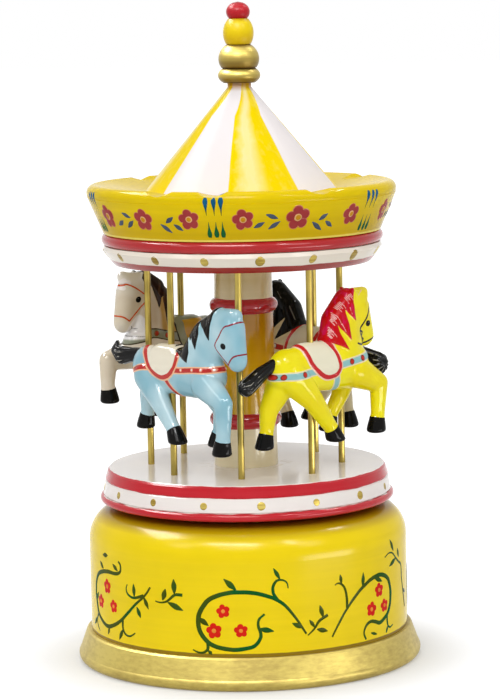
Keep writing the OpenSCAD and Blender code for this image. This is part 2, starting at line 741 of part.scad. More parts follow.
// each horse's own gait: [forward, up] of the hoofs in the order of the legs above
blue_gait = [[0, 1], [-1.3, 2], [1.2, -1.6], [2.7, 0]];
yellow_gait = [[0.8, 0], [-0.7, -1.4], [-0.4, -0.3], [-2.8, 1.6]];
cream_gait = [[0, 0], [-3.4, 0], [0, 0], [-4.6, -2.2]];
white_gait = [[0, 0], [0, 0], [2.3, 3.9], [0, 0]];
horse_scale = horse_l / 37;
back_rise = 6.8;                    // from the middle of the barrel up to the back
horse_z = platform_top_z + horse_back_h - back_rise * horse_scale;
carve_fn = 14;

module ball(p, flat, grow = 0)
    translate([p[0], -p[1], p[2]]) scale([1, flat, 1]) sphere(p[3] + grow, $fn = carve_fn);

module blend_points(points, flat)
    for (i = [0:len(points) - 2]) hull() {
        ball(points[i], flat);
        ball(points[i + 1], flat);
    }

// the hip stays, the knee takes part of the gait's move and the hoof all of it
module leg(points, move) {
    share = [0, 0.6, 1, 1];
    p = [for (i = [0:3]) points[i] + [move[0], 0, move[1], 0] * share[i]];
    hoof = p[3];
    blend_points([for (i = [0:2]) p[i]], 0.85);
    hull() {
        ball(p[2], 0.85);
        translate([hoof[0], -hoof[1], hoof[2] - 1.4])
            cylinder(r1 = hoof[3], r2 = hoof[3] - 0.5, h = 2.8, $fn = carve_fn);
    }
}

// head is [forward, up] of the head, mane_r is the carved mane's thickness
module horse_body(head, mane_r, gait) {
    d = [head[0], 0, head[1], 0];
    neck = [[12.5, 0, 3, 7.2], [13, 0, 10.5, 6.2] + d / 2, [15.5, 0, 16, 5] + d];
    brow = [18.6, 0, 15.6, 4.7] + d;
    muzzle = [21.2, 0, 7.4, 3.3] + d;
    forelock = [[15.5, 0, 18.2, 3.4] + d, [19.7, 0, 18.6, 2.5] + d];
    mane = [[6.8, 0, 6, 2.6], [8.8, 0, 13, 2.8] + d / 2, [13.6, 0, 19, 2.3] + d];
    blend_points([rump, ribs, chest], 0.68);
    blend_points(neck, 0.62);
    blend_points([neck[2], brow], 0.68);
    blend_points([brow, muzzle], 0.72);
    blend_points(forelock, 0.9);
    for (side = [-1, 1])
        blend_points([[15.6, 1.7 * side, 19.6, 1.4] + d, [15.2, 2.2 * side, 21.1, 0.7] + d], 1);
    if (mane_r > 0)
        blend_points([for (p = mane) [p[0], p[1], p[2], p[3] * mane_r]], 1.1);
    leg(outer_hind, gait[0]);
    leg(inner_hind, gait[1]);
    leg(outer_fore, gait[2]);
    leg(inner_fore, gait[3]);
}

// places a horse's own frame at one of the poles, facing counter-clockwise
module at_pole(i, lift)
    rotate(first_pole_angle + (i - 1) * 360 / pole_count)
        translate([pole_circle_r, 0, horse_z + lift]) rotate(90) scale(horse_scale) children();

module horse(i, lift, head, mane_r, gait) difference() {
    at_pole(i, lift) horse_body(head, mane_r, gait);
    rotate(first_pole_angle + (i - 1) * 360 / pole_count)
        translate([pole_circle_r, 0, platform_top_z])
            cylinder(r = pole_r + 0.15, h = column_h, $fn = 24);
}

// a tail is glued on, so it is cut to the rump's shape; tip is its end's [back, up, radius]
module tail(i, lift, tip) difference() {
    root = [-14.2, 0, 2.4, 1.6];
    end = [-tip[0], 0, tip[1], tip[2]];
    at_pole(i, lift)
        blend_points([root, 0.5 * root + 0.5 * end, end], 0.8);
    at_pole(i, lift) hull() {
        ball(rump, 0.68, snug);
        ball(ribs, 0.68, snug);
    }
}

module blue_horse() color("lightskyblue") horse(1, 0, [6, -2.4], 0, blue_gait);
module yellow_horse() color("yellow") horse(3, 0, [0, 0], 1, yellow_gait);
module cream_horse() color("wheat") horse(5, 0, [1.8, -1.6], 1, cream_gait);
module white_horse() color("whitesmoke") horse(7, white_horse_lift, [1, 0], 0.8, white_gait);
module blue_horse_tail() color("black") tail(1, 0, [22.4, 2.4, 3]);
module yellow_horse_tail() color("black") tail(3, 0, [24.4, -3, 2.3]);
module cream_horse_tail() color("black") tail(5, 0, [26.4, -2, 2.8]);
module white_horse_tail() color("saddlebrown") tail(7, white_horse_lift, [24, 0, 2.5]);

foot_ring();
bottom_cover();
cover_screws();
drum();
bedplate();
movement_screws();
spring_housing();
mainspring();
comb();
comb_screws();
governor_bracket();
governor_screw();
arbor_bush();
winding_arbor();
drive_wheel();
platform_hub();
hub_screws();
platform();
column();
pole(1);  // pole_1
pole(2);  // pole_2
pole(3);  // pole_3
pole(4);  // pole_4
pole(5);  // pole_5
pole(6);  // pole_6
pole(7);  // pole_7
pole(8);  // pole_8
blue_horse();
yellow_horse();
cream_horse();
white_horse();
blue_horse_tail();
yellow_horse_tail();
cream_horse_tail();
white_horse_tail();
canopy_disc();
crown();
roof_cone();
finial_pin();
finial_collar();
finial_gold_bead();
finial_yellow_bead();
finial_red_bead();
pinned_cylinder();
cylinder_arbor();
cylinder_pinion();
cylinder_gear();
idler_arbor();
idler_pinion();
worm_wheel();
worm_shaft();
governor_fan();
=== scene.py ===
import bmesh
import bpy
import numpy as np
from math import atan2, cos, pi, radians, sin
from mathutils import Matrix, Vector


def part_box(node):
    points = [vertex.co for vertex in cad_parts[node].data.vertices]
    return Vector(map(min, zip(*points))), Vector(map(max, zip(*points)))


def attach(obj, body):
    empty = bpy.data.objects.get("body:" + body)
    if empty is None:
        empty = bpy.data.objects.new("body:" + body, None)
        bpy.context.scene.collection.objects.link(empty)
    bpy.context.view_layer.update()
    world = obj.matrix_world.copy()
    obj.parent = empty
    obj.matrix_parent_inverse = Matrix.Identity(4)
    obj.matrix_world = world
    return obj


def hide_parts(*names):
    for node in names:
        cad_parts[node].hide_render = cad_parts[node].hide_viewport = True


# A painted wooden carousel music box. The turned and metal pieces keep their shape and get a finish, the
# horses and their tails are carved anew, and the ornament is painted on as thin raised strokes.
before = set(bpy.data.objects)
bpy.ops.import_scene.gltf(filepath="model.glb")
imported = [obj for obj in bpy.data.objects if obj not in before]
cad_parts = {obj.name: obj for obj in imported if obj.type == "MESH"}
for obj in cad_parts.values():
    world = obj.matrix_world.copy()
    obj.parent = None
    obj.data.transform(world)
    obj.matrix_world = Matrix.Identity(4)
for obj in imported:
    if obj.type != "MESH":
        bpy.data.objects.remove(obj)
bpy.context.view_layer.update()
MM = 0.001


# ---- paint box: shader maths and the finishes ----

def linear(r, g, b):
    """A colour as it is seen on screen, 0 to 255, in the shader's linear numbers."""
    def channel(v):
        return v / 12.92 if v <= 0.04045 else ((v + 0.055) / 1.055) ** 2.4
    return channel(r / 255), channel(g / 255), channel(b / 255), 1.0


YELLOW = linear(244, 214, 0)
RED = linear(196, 38, 48)
WHITE = linear(242, 235, 230)
CREAM = linear(238, 231, 206)
BLACK = linear(16, 15, 14)


class Value:
    """A number or a shape inside a node tree. Sums and products of values add Math nodes."""

    def __init__(self, nodes, socket):
        self.nodes, self.socket = nodes, socket

    def maths(self, operation, *others, clamp=False):
        return self.nodes.add("ShaderNodeMath", self, *others,
                              settings={"operation": operation, "use_clamp": clamp})

    def __rsub__(self, other):
        return (self * -1) + other

    def __neg__(self):
        return self * -1

    def clamped(self):
        return self.maths("ADD", 0.0, clamp=True)

    def above(self, edge, soft):
        """0 under an edge and 1 over it, with a soft change between them."""
        return ((self - edge) * (1 / soft) + 0.5).clamped()

    def below(self, edge, soft):
        return (-self).above(-edge, soft)

    def within(self, low, high, soft):
        return self.above(low, soft) * self.below(high, soft)


def one_node(operation):
    """A method that takes a value through one Math node."""
    return lambda value, *others: value.maths(operation, *others)


for method, operation in {"__add__": "ADD", "__radd__": "ADD", "__sub__": "SUBTRACT", "__mul__": "MULTIPLY",
                          "__rmul__": "MULTIPLY", "__truediv__": "DIVIDE", "__pow__": "POWER",
                          "__mod__": "FLOORED_MODULO", "__abs__": "ABSOLUTE", "most": "MAXIMUM"}.items():
    setattr(Value, method, one_node(operation))


class Nodes:
    """A node tree that is filled in words."""

    def __init__(self, tree, prefix):
        self.tree, self.prefix = tree, prefix

    def add(self, kind, *inputs, out=0, settings=None, **named):
        """The output of a new node. Its sockets take values or links by order or by name, or None for
        what they already hold."""
        node = self.tree.nodes.new(kind if "Node" in kind else self.prefix + kind)
        for key, value in (settings or {}).items():
            setattr(node, key, value)
        for key, value in list(enumerate(inputs)) + list(named.items()):
            socket = node.inputs[key.replace("_", " ") if isinstance(key, str) else key]
            if isinstance(value, Value):
                self.tree.links.new(value.socket, socket)
            elif value is not None:
                socket.default_value = value
        return Value(self, node.outputs[out])

    def parts(self, place):
        """A place's x, y and z."""
        return [self.add("ShaderNodeSeparateXYZ", place, out=axis) for axis in "XYZ"]

    def point(self, x, y, z):
        return self.add("ShaderNodeCombineXYZ", x, y, z)


class Paint(Nodes):
    """One material. Its constants are set on the shader itself."""

    def __init__(self, name, **constants):
        self.material = bpy.data.materials.new(name)
        self.material.use_nodes = True
        super().__init__(self.material.node_tree, "ShaderNode")
        self.tree.nodes.clear()
        self.shader = self.tree.nodes.new("ShaderNodeBsdfPrincipled")
        out = self.tree.nodes.new("ShaderNodeOutputMaterial")
        self.tree.links.new(self.shader.outputs[0], out.inputs[0])
        for socket, value in constants.items():
            self.shader.inputs[socket.replace("_", " ")].default_value = value
        self.place = self.add("TexCoord", out="Object")
        self.x, self.y, self.z = (part / MM for part in self.parts(self.place))

    def mix(self, factor, a, b):
        """From colour a to colour b. A Mix node's colours are its seventh and eighth sockets."""
        return self.add("Mix", factor, *[None] * 5, a, b, out=2, settings={"data_type": "RGBA"})

    def radius(self):
        """Distance from the music box's axis, in millimetres."""
        return (self.x ** 2 + self.y ** 2) ** 0.5

    def noise(self, scale, detail=3.0):
        return self.add("TexNoise", Vector=self.place, Scale=scale, Detail=detail, Roughness=0.5)

    def streaks(self, along, across, up, detail=4.0, rough=0.5):
        """A noise that is stretched, so that it runs in streaks."""
        stretched = self.add("Mapping", self.place, Scale=(along, across, up))
        return self.add("TexNoise", Vector=stretched, Scale=1.0, Detail=detail, Roughness=rough)

    def attribute(self, name):
        return self.add("Attribute", out="Fac", settings={"attribute_name": name})

    def bump(self, height, strength, distance):
        return self.add("Bump", Height=height, Strength=strength, Distance=distance)

    def finish(self, **sockets):
        for name, value in sockets.items():
            self.tree.links.new(value.socket, self.shader.inputs[name.replace("_", " ")])
        return self.material


def enamel(name, colour_of, streaks=(60, 60, 900), shade=0.06, gloss=0.16, bump=0.12, film=1.42, coat=0.25,
           haze=0.08, matt=None):
    """Brushed-on glossy enamel. colour_of(paint) gives the colour, streaks say how the brush ran, film is
    the paint's own index, coat its varnish and haze how soft that shines, and matt(paint) takes the
    varnish away."""
    paint = Paint(name, Coat_Roughness=haze, IOR=film)
    stroke, blotch = paint.streaks(*streaks), paint.noise(90.0, 2.0)
    colour = colour_of(paint)
    darker = paint.add("HueSaturation", Value=1 - shade * 1.6, Saturation=1.05, Color=colour)
    tone = ((stroke - 0.5) * 1.4 + (blotch - 0.5) * 0.9 + 0.35).clamped()
    return paint.finish(
        Base_Color=paint.mix(tone, colour, darker),
        Roughness=(gloss + (blotch - 0.5) * 0.12 + (stroke - 0.5) * 0.08).most(0.05),
        Coat_Weight=(coat - (blotch - 0.5) * 0.3 * coat - (matt(paint) if matt else 0.0)).clamped(),
        Normal=paint.bump(stroke * 0.6 + blotch * 0.4, bump, 0.22 * MM))


def wobble(paint, amount, scale=260.0):
    """How far a hand-painted edge strays, in millimetres."""
    return (paint.noise(scale, 2.0) - 0.5) * (2 * amount)


def bands(paint, edges, colours):
    """Colours by height, with hand-painted edges between them."""
    z = paint.z + wobble(paint, 0.28, 130.0)
    colour = colours[0]
    for edge, following in zip(edges, colours[1:]):
        colour = paint.mix(z.above(edge, 0.12), colour, following)
    return colour


def gilt(name, streaks, shade=0.5, crease=None, rough=0.4, metallic=0.86):
    """Gold paint brushed over wood: metallic, streaked, thin in places, and darkened by painted shade where
    the given mask is 1.
    """
    paint = Paint(name, IOR=1.45, Coat_Roughness=0.2)
    stroke, patch = paint.streaks(*streaks, 5.0, 0.6), paint.noise(70.0)
    thin = ((stroke - 0.5) * 2.2 + (patch - 0.5) * 1.8 + 0.42).clamped()
    colour = paint.mix((thin * shade).clamped(), linear(198, 178, 92), linear(132, 106, 34))
    if crease:
        colour = paint.mix(crease(paint), colour, linear(100, 74, 20))
    return paint.finish(
        Base_Color=colour,
        Metallic=metallic - thin * 0.22,
        Roughness=rough + (stroke - 0.5) * 0.14 + patch * 0.05,
        Normal=paint.bump(stroke * 0.7 + patch * 0.3, 0.2, 0.2 * MM))


def metal(name, colour, rough, streaks, dark=0.75, bump=0.1, streaky=0.6):
    """Turned, drawn or cast metal with a little tarnish."""
    paint = Paint(name, Metallic=1.0)
    stroke, tarnish = paint.streaks(*streaks), paint.noise(160.0)
    spots = ((tarnish - 0.5) * 2.0 + (stroke - 0.5) * streaky + 0.4).clamped()
    shaded = tuple(v * dark for v in colour[:3]) + (1.0,)
    return paint.finish(
        Base_Color=paint.mix(spots, colour, shaded),
        Roughness=rough + (stroke - 0.5) * 0.2 + spots * 0.1,
        Normal=paint.bump(stroke, bump, 0.1 * MM))


def bare_wood(name):
    """Unpainted beech with its rings."""
    paint = Paint(name, Coat_Weight=0.05)
    rings = paint.streaks(700, 60, 500, detail=5.0)
    grain = ((rings - 0.35) * 2.4).clamped()
    return paint.finish(
        Base_Color=paint.mix(grain, linear(214, 180, 132), linear(168, 124, 78)),
        Roughness=0.55 + grain * 0.15,
        Normal=paint.bump(rings, 0.2, 0.2 * MM))


# ---- colours of the turned pieces, by heights taken from the frame ----

def low(node):
    """Height of a piece's underside, in millimetres."""
    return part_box(node)[0][2] / MM


def high(node):
    """Height of a piece's top, in millimetres."""
    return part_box(node)[1][2] / MM


def shadowed(node):
    """Where painted shade goes: 1 in the seams above and below a turned bead and down on its lower side."""
    def crease(paint):
        base, top = low(node), high(node)
        down = paint.z.below(base + (top - base) * 0.42, (top - base) * 0.4) * 0.75
        return down.most(paint.z.above(top - 0.5, 0.8)).most(paint.z.below(base + 0.7, 0.9))
    return crease


def worn(node, colour, dark):
    """A bead's one colour, with painted shade: darker in its seams and on its lower side."""
    return lambda paint: paint.mix(shadowed(node)(paint), colour, dark)


def platform_colour(paint):
    """Red, white and red round the edge, and a white deck with a glue stain round the column."""
    base, top = low("platform"), high("platform")
    side = bands(paint, (base + 2.2, top - 3.4), (RED, WHITE, RED))
    r, glue_from, glue_to, deck_edge = paint.radius(), 9.0, 13.5, 39.9
    stain = (r.within(glue_from, glue_to, 3.0) * ((paint.noise(420.0, 4.0) - 0.54) * 7).clamped()) * 0.5
    deck = paint.mix(stain, WHITE, linear(196, 168, 118))
    on_deck = paint.z.above(top - 0.25, 0.08) * (r + wobble(paint, 0.2)).below(deck_edge, 0.15)
    return paint.mix(on_deck, side, deck)


def canopy_colour(paint):
    """Dull red, white and red round the edge, and cream underneath."""
    base, top = low("canopy_disc"), high("canopy_disc")
    side = bands(paint, (base + 1.8, top - 3.4),
                 (linear(158, 48, 40), linear(240, 231, 216), linear(180, 38, 42)))
    cream_edge = 36.8
    under = paint.z.below(base + 0.2, 0.06) * (paint.radius() + wobble(paint, 0.25)).below(cream_edge, 0.2)
    return paint.mix(under, side, CREAM)


RING_HEIGHTS, RING_HALF = (16.7, 49.9), 2.2


def column_colour(paint):
    """Cream, with painted shade making it darker and yellower up under the canopy, two red rings, and amber
    between them.
    """
    rings = [low("column") + height for height in RING_HEIGHTS]
    z = paint.z + wobble(paint, 0.18)
    amber = paint.mix(z.above(82, 30.0), linear(226, 182, 24), linear(196, 138, 14))
    # Painted shade under the canopy: the cream turns darker and yellower near the top.
    cream = paint.mix(z.above(rings[1] + 3, 9.0), linear(250, 236, 198), linear(214, 188, 132))
    colour = paint.mix(z.within(*rings, 0.2), cream, amber)
    for ring in rings:
        colour = paint.mix(z.within(ring - RING_HALF, ring + RING_HALF, 0.12), colour, RED)
    return colour


def drum_colour(paint):
    """Yellow, with a painted shadow under the platform and a brown line where it meets the foot."""
    shade_edge = 45.6
    # Painted shadow of the platform across the top of the drum.
    under = paint.z.above(high("drum") - 2.2, 3.2) * paint.radius().below(shade_edge, 2.2) * 0.85
    joint = (paint.z + wobble(paint, 0.1)).below(high("foot_ring") - 1.0, 0.16) * 0.8
    return paint.mix(joint, paint.mix(under, YELLOW, linear(126, 82, 14)), linear(96, 62, 14))


def crown_colour(paint):
    """A deeper yellow on the lower half, and a painted highlight along the lower edge."""
    base = low("crown")
    yellow = paint.mix(paint.z.below(base + 5.5, 6.0), linear(230, 199, 0), linear(212, 178, 0))
    # Painted highlight along the crown's rounded lower edge.
    edge = (paint.z + wobble(paint, 0.15)).below(base + 0.55, 0.3) * 0.7
    return paint.mix(edge, yellow, linear(255, 240, 120))


def stripe_colour(paint):
    """Eight stripes from the roof's point down, with brushed edges, a light painted highlight on the yellow,
    and a painted shadow just under the collar.
    """
    angle = paint.y.maths("ARCTAN2", paint.x) * (180 / pi)
    lean = paint.z.above(high("roof_cone") - 4.5, 9.0) * 20.0
    turn = ((angle + 98.5 - lean + wobble(paint, 1.2, 60.0)) % 90.0) - 22.5
    yellow = abs(turn).below(22.5, 0.8)
    ragged = paint.streaks(500, 500, 40)
    thin = ((ragged - 0.5) * 2.5).clamped() * 0.16
    # Painted highlight: a light cream streak across each yellow stripe.
    painted_highlight = (turn + (ragged - 0.5) * 9).within(-15.0, 0.0, 9.0) * 0.62
    coat = paint.mix(painted_highlight, YELLOW, linear(254, 243, 196))
    stripes = paint.mix(yellow * (1 - thin), linear(240, 234, 235), coat)
    # Painted shadow on the roof just under the collar.
    collar_shadow = paint.z.above(low("finial_collar") - 1.5, 1.6) * 0.75
    return paint.mix(collar_shadow, stripes, linear(182, 128, 50))


def finial_gilt(name, node, rough):
    """Dull gold on one of the finial's turned pieces, with painted shade in its seams and on its lower side.
    """
    return gilt(name, (30, 30, 1500), crease=shadowed(node), rough=rough, metallic=0.78)


def bead(name, node, colour, dark):
    """Soft enamel on one of the finial's coloured beads, with painted shade in its seams and on its lower
    side.
    """
    return enamel(name, worn(node, colour, dark), (20, 20, 300), gloss=0.34, bump=0.03, film=1.26, coat=0)


def tail_paint(name, hair, pale):
    """Black or brown enamel, with a light painted highlight here and there along the ridges of the hair."""
    def colours(paint):
        patchy = paint.noise(420.0, 2.0).above(0.47, 0.06)
        # Painted highlight on the ridge tops of the hair.
        return paint.mix(paint.attribute("comb").above(0.76, 0.12) * patchy * 0.9, hair, pale)
    return enamel(name, colours, (300, 300, 300), shade=0.0, gloss=0.08, film=1.06, coat=0.35)


TURNED = (18, 18, 900)
FINISH = {
    "drum": enamel("drum_yellow", drum_colour, (12, 12, 700), film=1.07, coat=0.3, haze=0.2),
    "crown": enamel("crown_yellow", crown_colour, (12, 12, 700), shade=0.09, film=1.07, coat=0.14),
    "platform": enamel("platform_bands", platform_colour, TURNED, shade=0.03, film=1.25, coat=0.15),
    "canopy_disc": enamel("canopy_bands", canopy_colour, TURNED, shade=0.04, film=1.3, coat=0.15),
    "column": enamel("column_cream", column_colour, TURNED, shade=0.05),
    "roof_cone": enamel("roof_stripes", stripe_colour, (60, 60, 25), shade=0.03, gloss=0.25, film=1.08,
                        coat=0.02),
    "foot_ring": gilt("foot_gilt", (380, 380, 1100), metallic=0.58),
    "finial_collar": finial_gilt("collar_gilt", "finial_collar", 0.37),
    "finial_gold_bead": finial_gilt("bead_gilt", "finial_gold_bead", 0.39),
    "finial_yellow_bead": bead("bead_yellow", "finial_yellow_bead", YELLOW, linear(214, 176, 8)),
    "finial_red_bead": bead("bead_red", "finial_red_bead", RED, linear(172, 28, 36)),
    # The poles' long dark streaks are painted reflection as well as tarnish.
    "poles": metal("pole_brass", linear(184, 162, 84), 0.32, (700, 700, 12), 0.55, bump=0.25, streaky=2.0),
    "brass": metal("turned_brass", linear(214, 180, 96), 0.25, (900, 900, 900)),
    "steel": metal("ground_steel", linear(190, 192, 194), 0.28, (900, 200, 900)),
    "spring": metal("blued_spring", linear(92, 104, 130), 0.3, (200, 200, 900)),
    "cast": metal("cast_zinc", linear(172, 174, 176), 0.5, (700, 700, 700), bump=0.3),
    "wood": bare_wood("beech_wood"),
    "tail_black": tail_paint("tail_black", linear(10, 9, 8), linear(172, 168, 156)),
    "tail_brown": tail_paint("tail_brown", linear(52, 34, 22), linear(120, 96, 70)),
}
USED_BY = {
    "brass": "spring_housing comb_screws arbor_bush drive_wheel platform_hub pinned_cylinder cylinder_pinion "
             "cylinder_gear worm_wheel governor_fan",
    "steel": "cover_screws movement_screws comb governor_screw winding_arbor hub_screws cylinder_arbor "
             "idler_arbor idler_pinion worm_shaft",
    "spring": "mainspring",
    "cast": "bedplate governor_bracket",
    "wood": "bottom_cover finial_pin",
    "poles": " ".join(f"pole_{i}" for i in range(1, 9)),
}
finish_of = {node: finish for finish, nodes in USED_BY.items() for node in nodes.split()}
for name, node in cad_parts.items():
    finish = FINISH.get(finish_of.get(name, name))
    if finish:
        node.data.materials.clear()
        node.data.materials.append(finish)


# ---- meshes ----

def as_object(name, mesh, *materials):
    piece = bpy.data.objects.new(name, mesh)
    bpy.context.collection.objects.link(piece)
    for material in materials:
        mesh.materials.append(material)
    return piece


def keep_values(mesh, name, values):
    """A number for each vertex, kept on the mesh under a name."""
    mesh.attributes.new(name, "FLOAT", "POINT").data.foreach_set("value", np.array(values, np.float32))


def evaluated(piece, name):
    """The mesh that a piece's modifiers make. The piece itself is taken away."""
    graph = bpy.context.evaluated_depsgraph_get()
    mesh = bpy.data.meshes.new_from_object(piece.evaluated_get(graph), depsgraph=graph)
    bpy.data.objects.remove(piece)
    mesh.name = name
    return mesh


# ---- horses ----
# A horse's own frame is in millimetres: forward, outward, up, with its pole at 0, 0 and the middle
# of the barrel at height 0. A ball is (forward, outward, up, radius).

BALL = [(cos(turn * pi / 12) * cos(tier * pi / 12), sin(turn * pi / 12) * cos(tier * pi / 12),
         sin(tier * pi / 12)) for tier in range(-6, 7) for turn in range(24)]


def hull_of(balls, flat):
    """The convex skin over some balls, each squeezed sideways. A fifth number squeezes one upright too."""
    skin = bmesh.new()
    for forward, outward, up, r, *tall in balls:
        for side, ahead, rise in BALL:
            height = rise * r * tall[0] if tall else rise * r
            skin.verts.new((outward + side * r * flat, forward + ahead * r, up + height))
    bmesh.ops.remove_doubles(skin, verts=skin.verts, dist=0.001)
    made = bmesh.ops.convex_hull(skin, input=skin.verts)
    bmesh.ops.delete(skin, geom=[v for v in made["geom_interior"] if isinstance(v, bmesh.types.BMVert)],
                     context="VERTS")
    return skin


def carved(name, rows, sanding, voxel=0.3):
    """Rows of balls (flat, ball, ball, ...) made one solid and sanded smooth."""
    whole = bmesh.new()
    for flat, *balls in rows:
        for pair in zip(balls, balls[1:]):
            part = bpy.data.meshes.new("part")
            hull_of(pair, flat).to_mesh(part)
            whole.from_mesh(part)
            bpy.data.meshes.remove(part)
    mesh = bpy.data.meshes.new(name)
    whole.to_mesh(mesh)
    block = as_object(name, mesh)
    remesh = block.modifiers.new("one_solid", "REMESH")
    remesh.mode, remesh.voxel_size, remesh.use_smooth_shade = "VOXEL", voxel, True
    sand = block.modifiers.new("sanding", "SMOOTH")
    sand.factor, sand.iterations = 0.5, sanding
    return evaluated(block, name)


def moved(ball, by, share=1.0):
    """A ball shifted by part of a [forward, up] move."""
    return (ball[0] + by[0] * share, ball[1], ball[2] + by[1] * share, *ball[3:])


LEGS = (((-8, 1.6, -2, 5), (-2.6, 3, -8.6, 3.3), (3.2, 3.2, -16.4, 2.2), (5.2, 3.2, -19.6, 2.7)),
        ((-9.6, -1.6, -3, 4.6), (-13.2, -3, -10, 2.9), (-13.6, -3.2, -15.6, 2.1), (-14.4, -3.2, -18.8, 2.6)),
        ((16.4, 1.6, -2.4, 4.8), (24.4, 3, -6.2, 2.9), (23.8, 3.2, -15, 2.2), (23.2, 3.2, -18.6, 2.7)),
        ((14.6, -1.6, -3.4, 4.4), (16.2, -3, -10, 2.7), (13.6, -3.2, -16.2, 2.1), (12.6, -3.2, -19.2, 2.6)))


def legs_of(gait):
    """The four legs at this horse's own gait: the knee takes part of the move and the hoof all of it."""
    return [[moved(ball, move, share) for ball, share in zip(leg, (0, 0.6, 1, 1))]
            for leg, move in zip(LEGS, gait)]


def horse_rows(look):
    """All the balls of one horse."""
    head = look["head"]
    poll, (brow, cheek, muzzle) = moved((15.5, 0, 16, 5), head), look["face"]
    rows = [(0.68, (-9.5, 0, 0.3, 6.2), (5, 0, -0.2, 6.8), (15, 0, -0.3, 6.9)),
            (0.74, (-3.4, 0, 1.4, 6.0), (2.6, 0, 1.4, 6.0)),
            (0.62, (12.5, 0, 3, 7.2), moved((13, 0, 10.5, 6.2), head, 0.5), poll),
            (0.68, poll, brow), (0.7, brow, muzzle), (0.7, brow, cheek, muzzle),
            (0.9, moved((15.5, 0, 18.2, 3.4), head), *look["brow_top"])]
    if look["ears"]:
        rows += [(1.0, moved((15.6, side * 1.7, 19.6, 1.4), head), moved((15.2, side * 2.2, 21.2, 0.7), head))
                 for side in (-1, 1)]
    if look["mane"]:
        rows.append((1.1, *look["mane"]))
    for hip, knee, ankle, (ahead, out, up, r) in legs_of(look["gait"]):
        lean = (ahead - ankle[0]) / (ankle[2] - up) * 0.7
        rows += [(0.85, hip, knee, ankle),
                 (0.9, ankle, (ahead - 1.6 * lean, out, up + 1.6, r - 0.35, 0.5)),
                 (0.95, (ahead - 1.5 * lean, out, up + 1.5, r - 0.3, 0.3),
                  (ahead + 1.1 * lean, out, up - 1.1, r + 0.15, 0.25))]
    return rows


def smooth_line(points, closed=False, steps=5):
    """A smooth line through given points."""
    p = np.array(points, float)
    p = np.vstack([p[-1:], p, p[:2]]) if closed else np.vstack([2 * p[0] - p[1], p, 2 * p[-1] - p[-2]])
    line = []
    for a, b, c, d in zip(p, p[1:], p[2:], p[3:]):
        for t in np.arange(steps) / steps:
            line.append(0.5 * (2 * b + (c - a) * t + (2 * a - 5 * b + 4 * c - d) * t ** 2
                               + (3 * b - a - 3 * c + d) * t ** 3))
    return np.array(line + [p[-2]])


def distance(line, where):
    """How far each place is from a line, in millimetres."""
    best = np.full(len(where), 99.0)
    for a, b in zip(line, line[1:]):
        step = b - a
        share = np.clip(((where - a) @ step) / max(step @ step, 1e-9), 0, 1)
        best = np.minimum(best, np.linalg.norm(where - a - share[:, None] * step, axis=1))
    return best


def inside(line, where):
    """Whether each place is within a closed line."""
    crossings = np.zeros(len(where), bool)
    for (x1, y1), (x2, y2) in zip(line, np.roll(line, -1, axis=0)):
        if y1 != y2:
            spans = (where[:, 1] > y1) != (where[:, 1] > y2)
            crossings ^= spans & (where[:, 0] < (x2 - x1) * (where[:, 1] - y1) / (y2 - y1) + x1)
    return crossings


def patch(where, outline, smooth=True):
    """Distance into a painted patch, negative outside it."""
    line = smooth_line(outline, closed=True) if smooth else np.array(outline + outline[:1], float)
    return np.where(inside(line, where), 1, -1) * distance(line, where)


def brushed(where, points, half_width):
    """Distance into a brushed line, negative outside it."""
    return half_width - distance(smooth_line(points), where)


def spots(where, centres, radius):
    """Distance into the nearest round spot, negative outside it."""
    return radius - np.min([np.hypot(*(where - np.array(c)).T) for c in centres], axis=0)


HOOF_EDGE, HOOF_REACH = 2.7, 5.2


def hoof_depth(place, gait):
    """Distance down into the nearest hoof from its edge, negative up the leg or out of the hoof's reach."""
    depth = np.full(len(place), -9.0)
    for *_, ankle, hoof in legs_of(gait):
        end, start = (np.array([b[1], b[0], b[2]]) for b in (hoof, ankle))
        down = (end - start) / np.linalg.norm(end - start)
        off = place - end
        here = np.minimum(off @ down + HOOF_EDGE, HOOF_REACH - np.linalg.norm(off, axis=1))
        depth = np.maximum(depth, here)
    return depth


BARREL_HEIGHT = high("platform") + 30.2


def set_on_pole(mesh, pole, lift, place):
    """Puts a mesh that is in a horse's own millimetres on its pole, in metres."""
    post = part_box(f"pole_{pole}")
    x, y = ((post[0][k] + post[1][k]) / 2 for k in (0, 1))
    away = atan2(y, x)
    out, ahead, up = place.T * MM
    world = np.column_stack([x + out * cos(away) - ahead * sin(away), y + out * sin(away) + ahead * cos(away),
                             (BARREL_HEIGHT + lift) * MM + up])
    mesh.vertices.foreach_set("co", world.astype(np.float32).ravel())
    mesh.update()


def vertices_of(mesh, field="co"):
    """Each vertex's place, or its normal."""
    values = np.empty(len(mesh.vertices) * 3, np.float32)
    mesh.vertices.foreach_get(field, values)
    return values.reshape(-1, 3).astype(float)


def rise(depth, soft):
    """How much of a layer's height there is, from 0 outside it to 1 well inside."""
    return np.clip(depth / soft + 0.5, 0, 1)


def take_place(piece, node):
    """A carved piece takes its plain solid's place on the carousel."""
    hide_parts(node)
    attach(piece, "carousel")


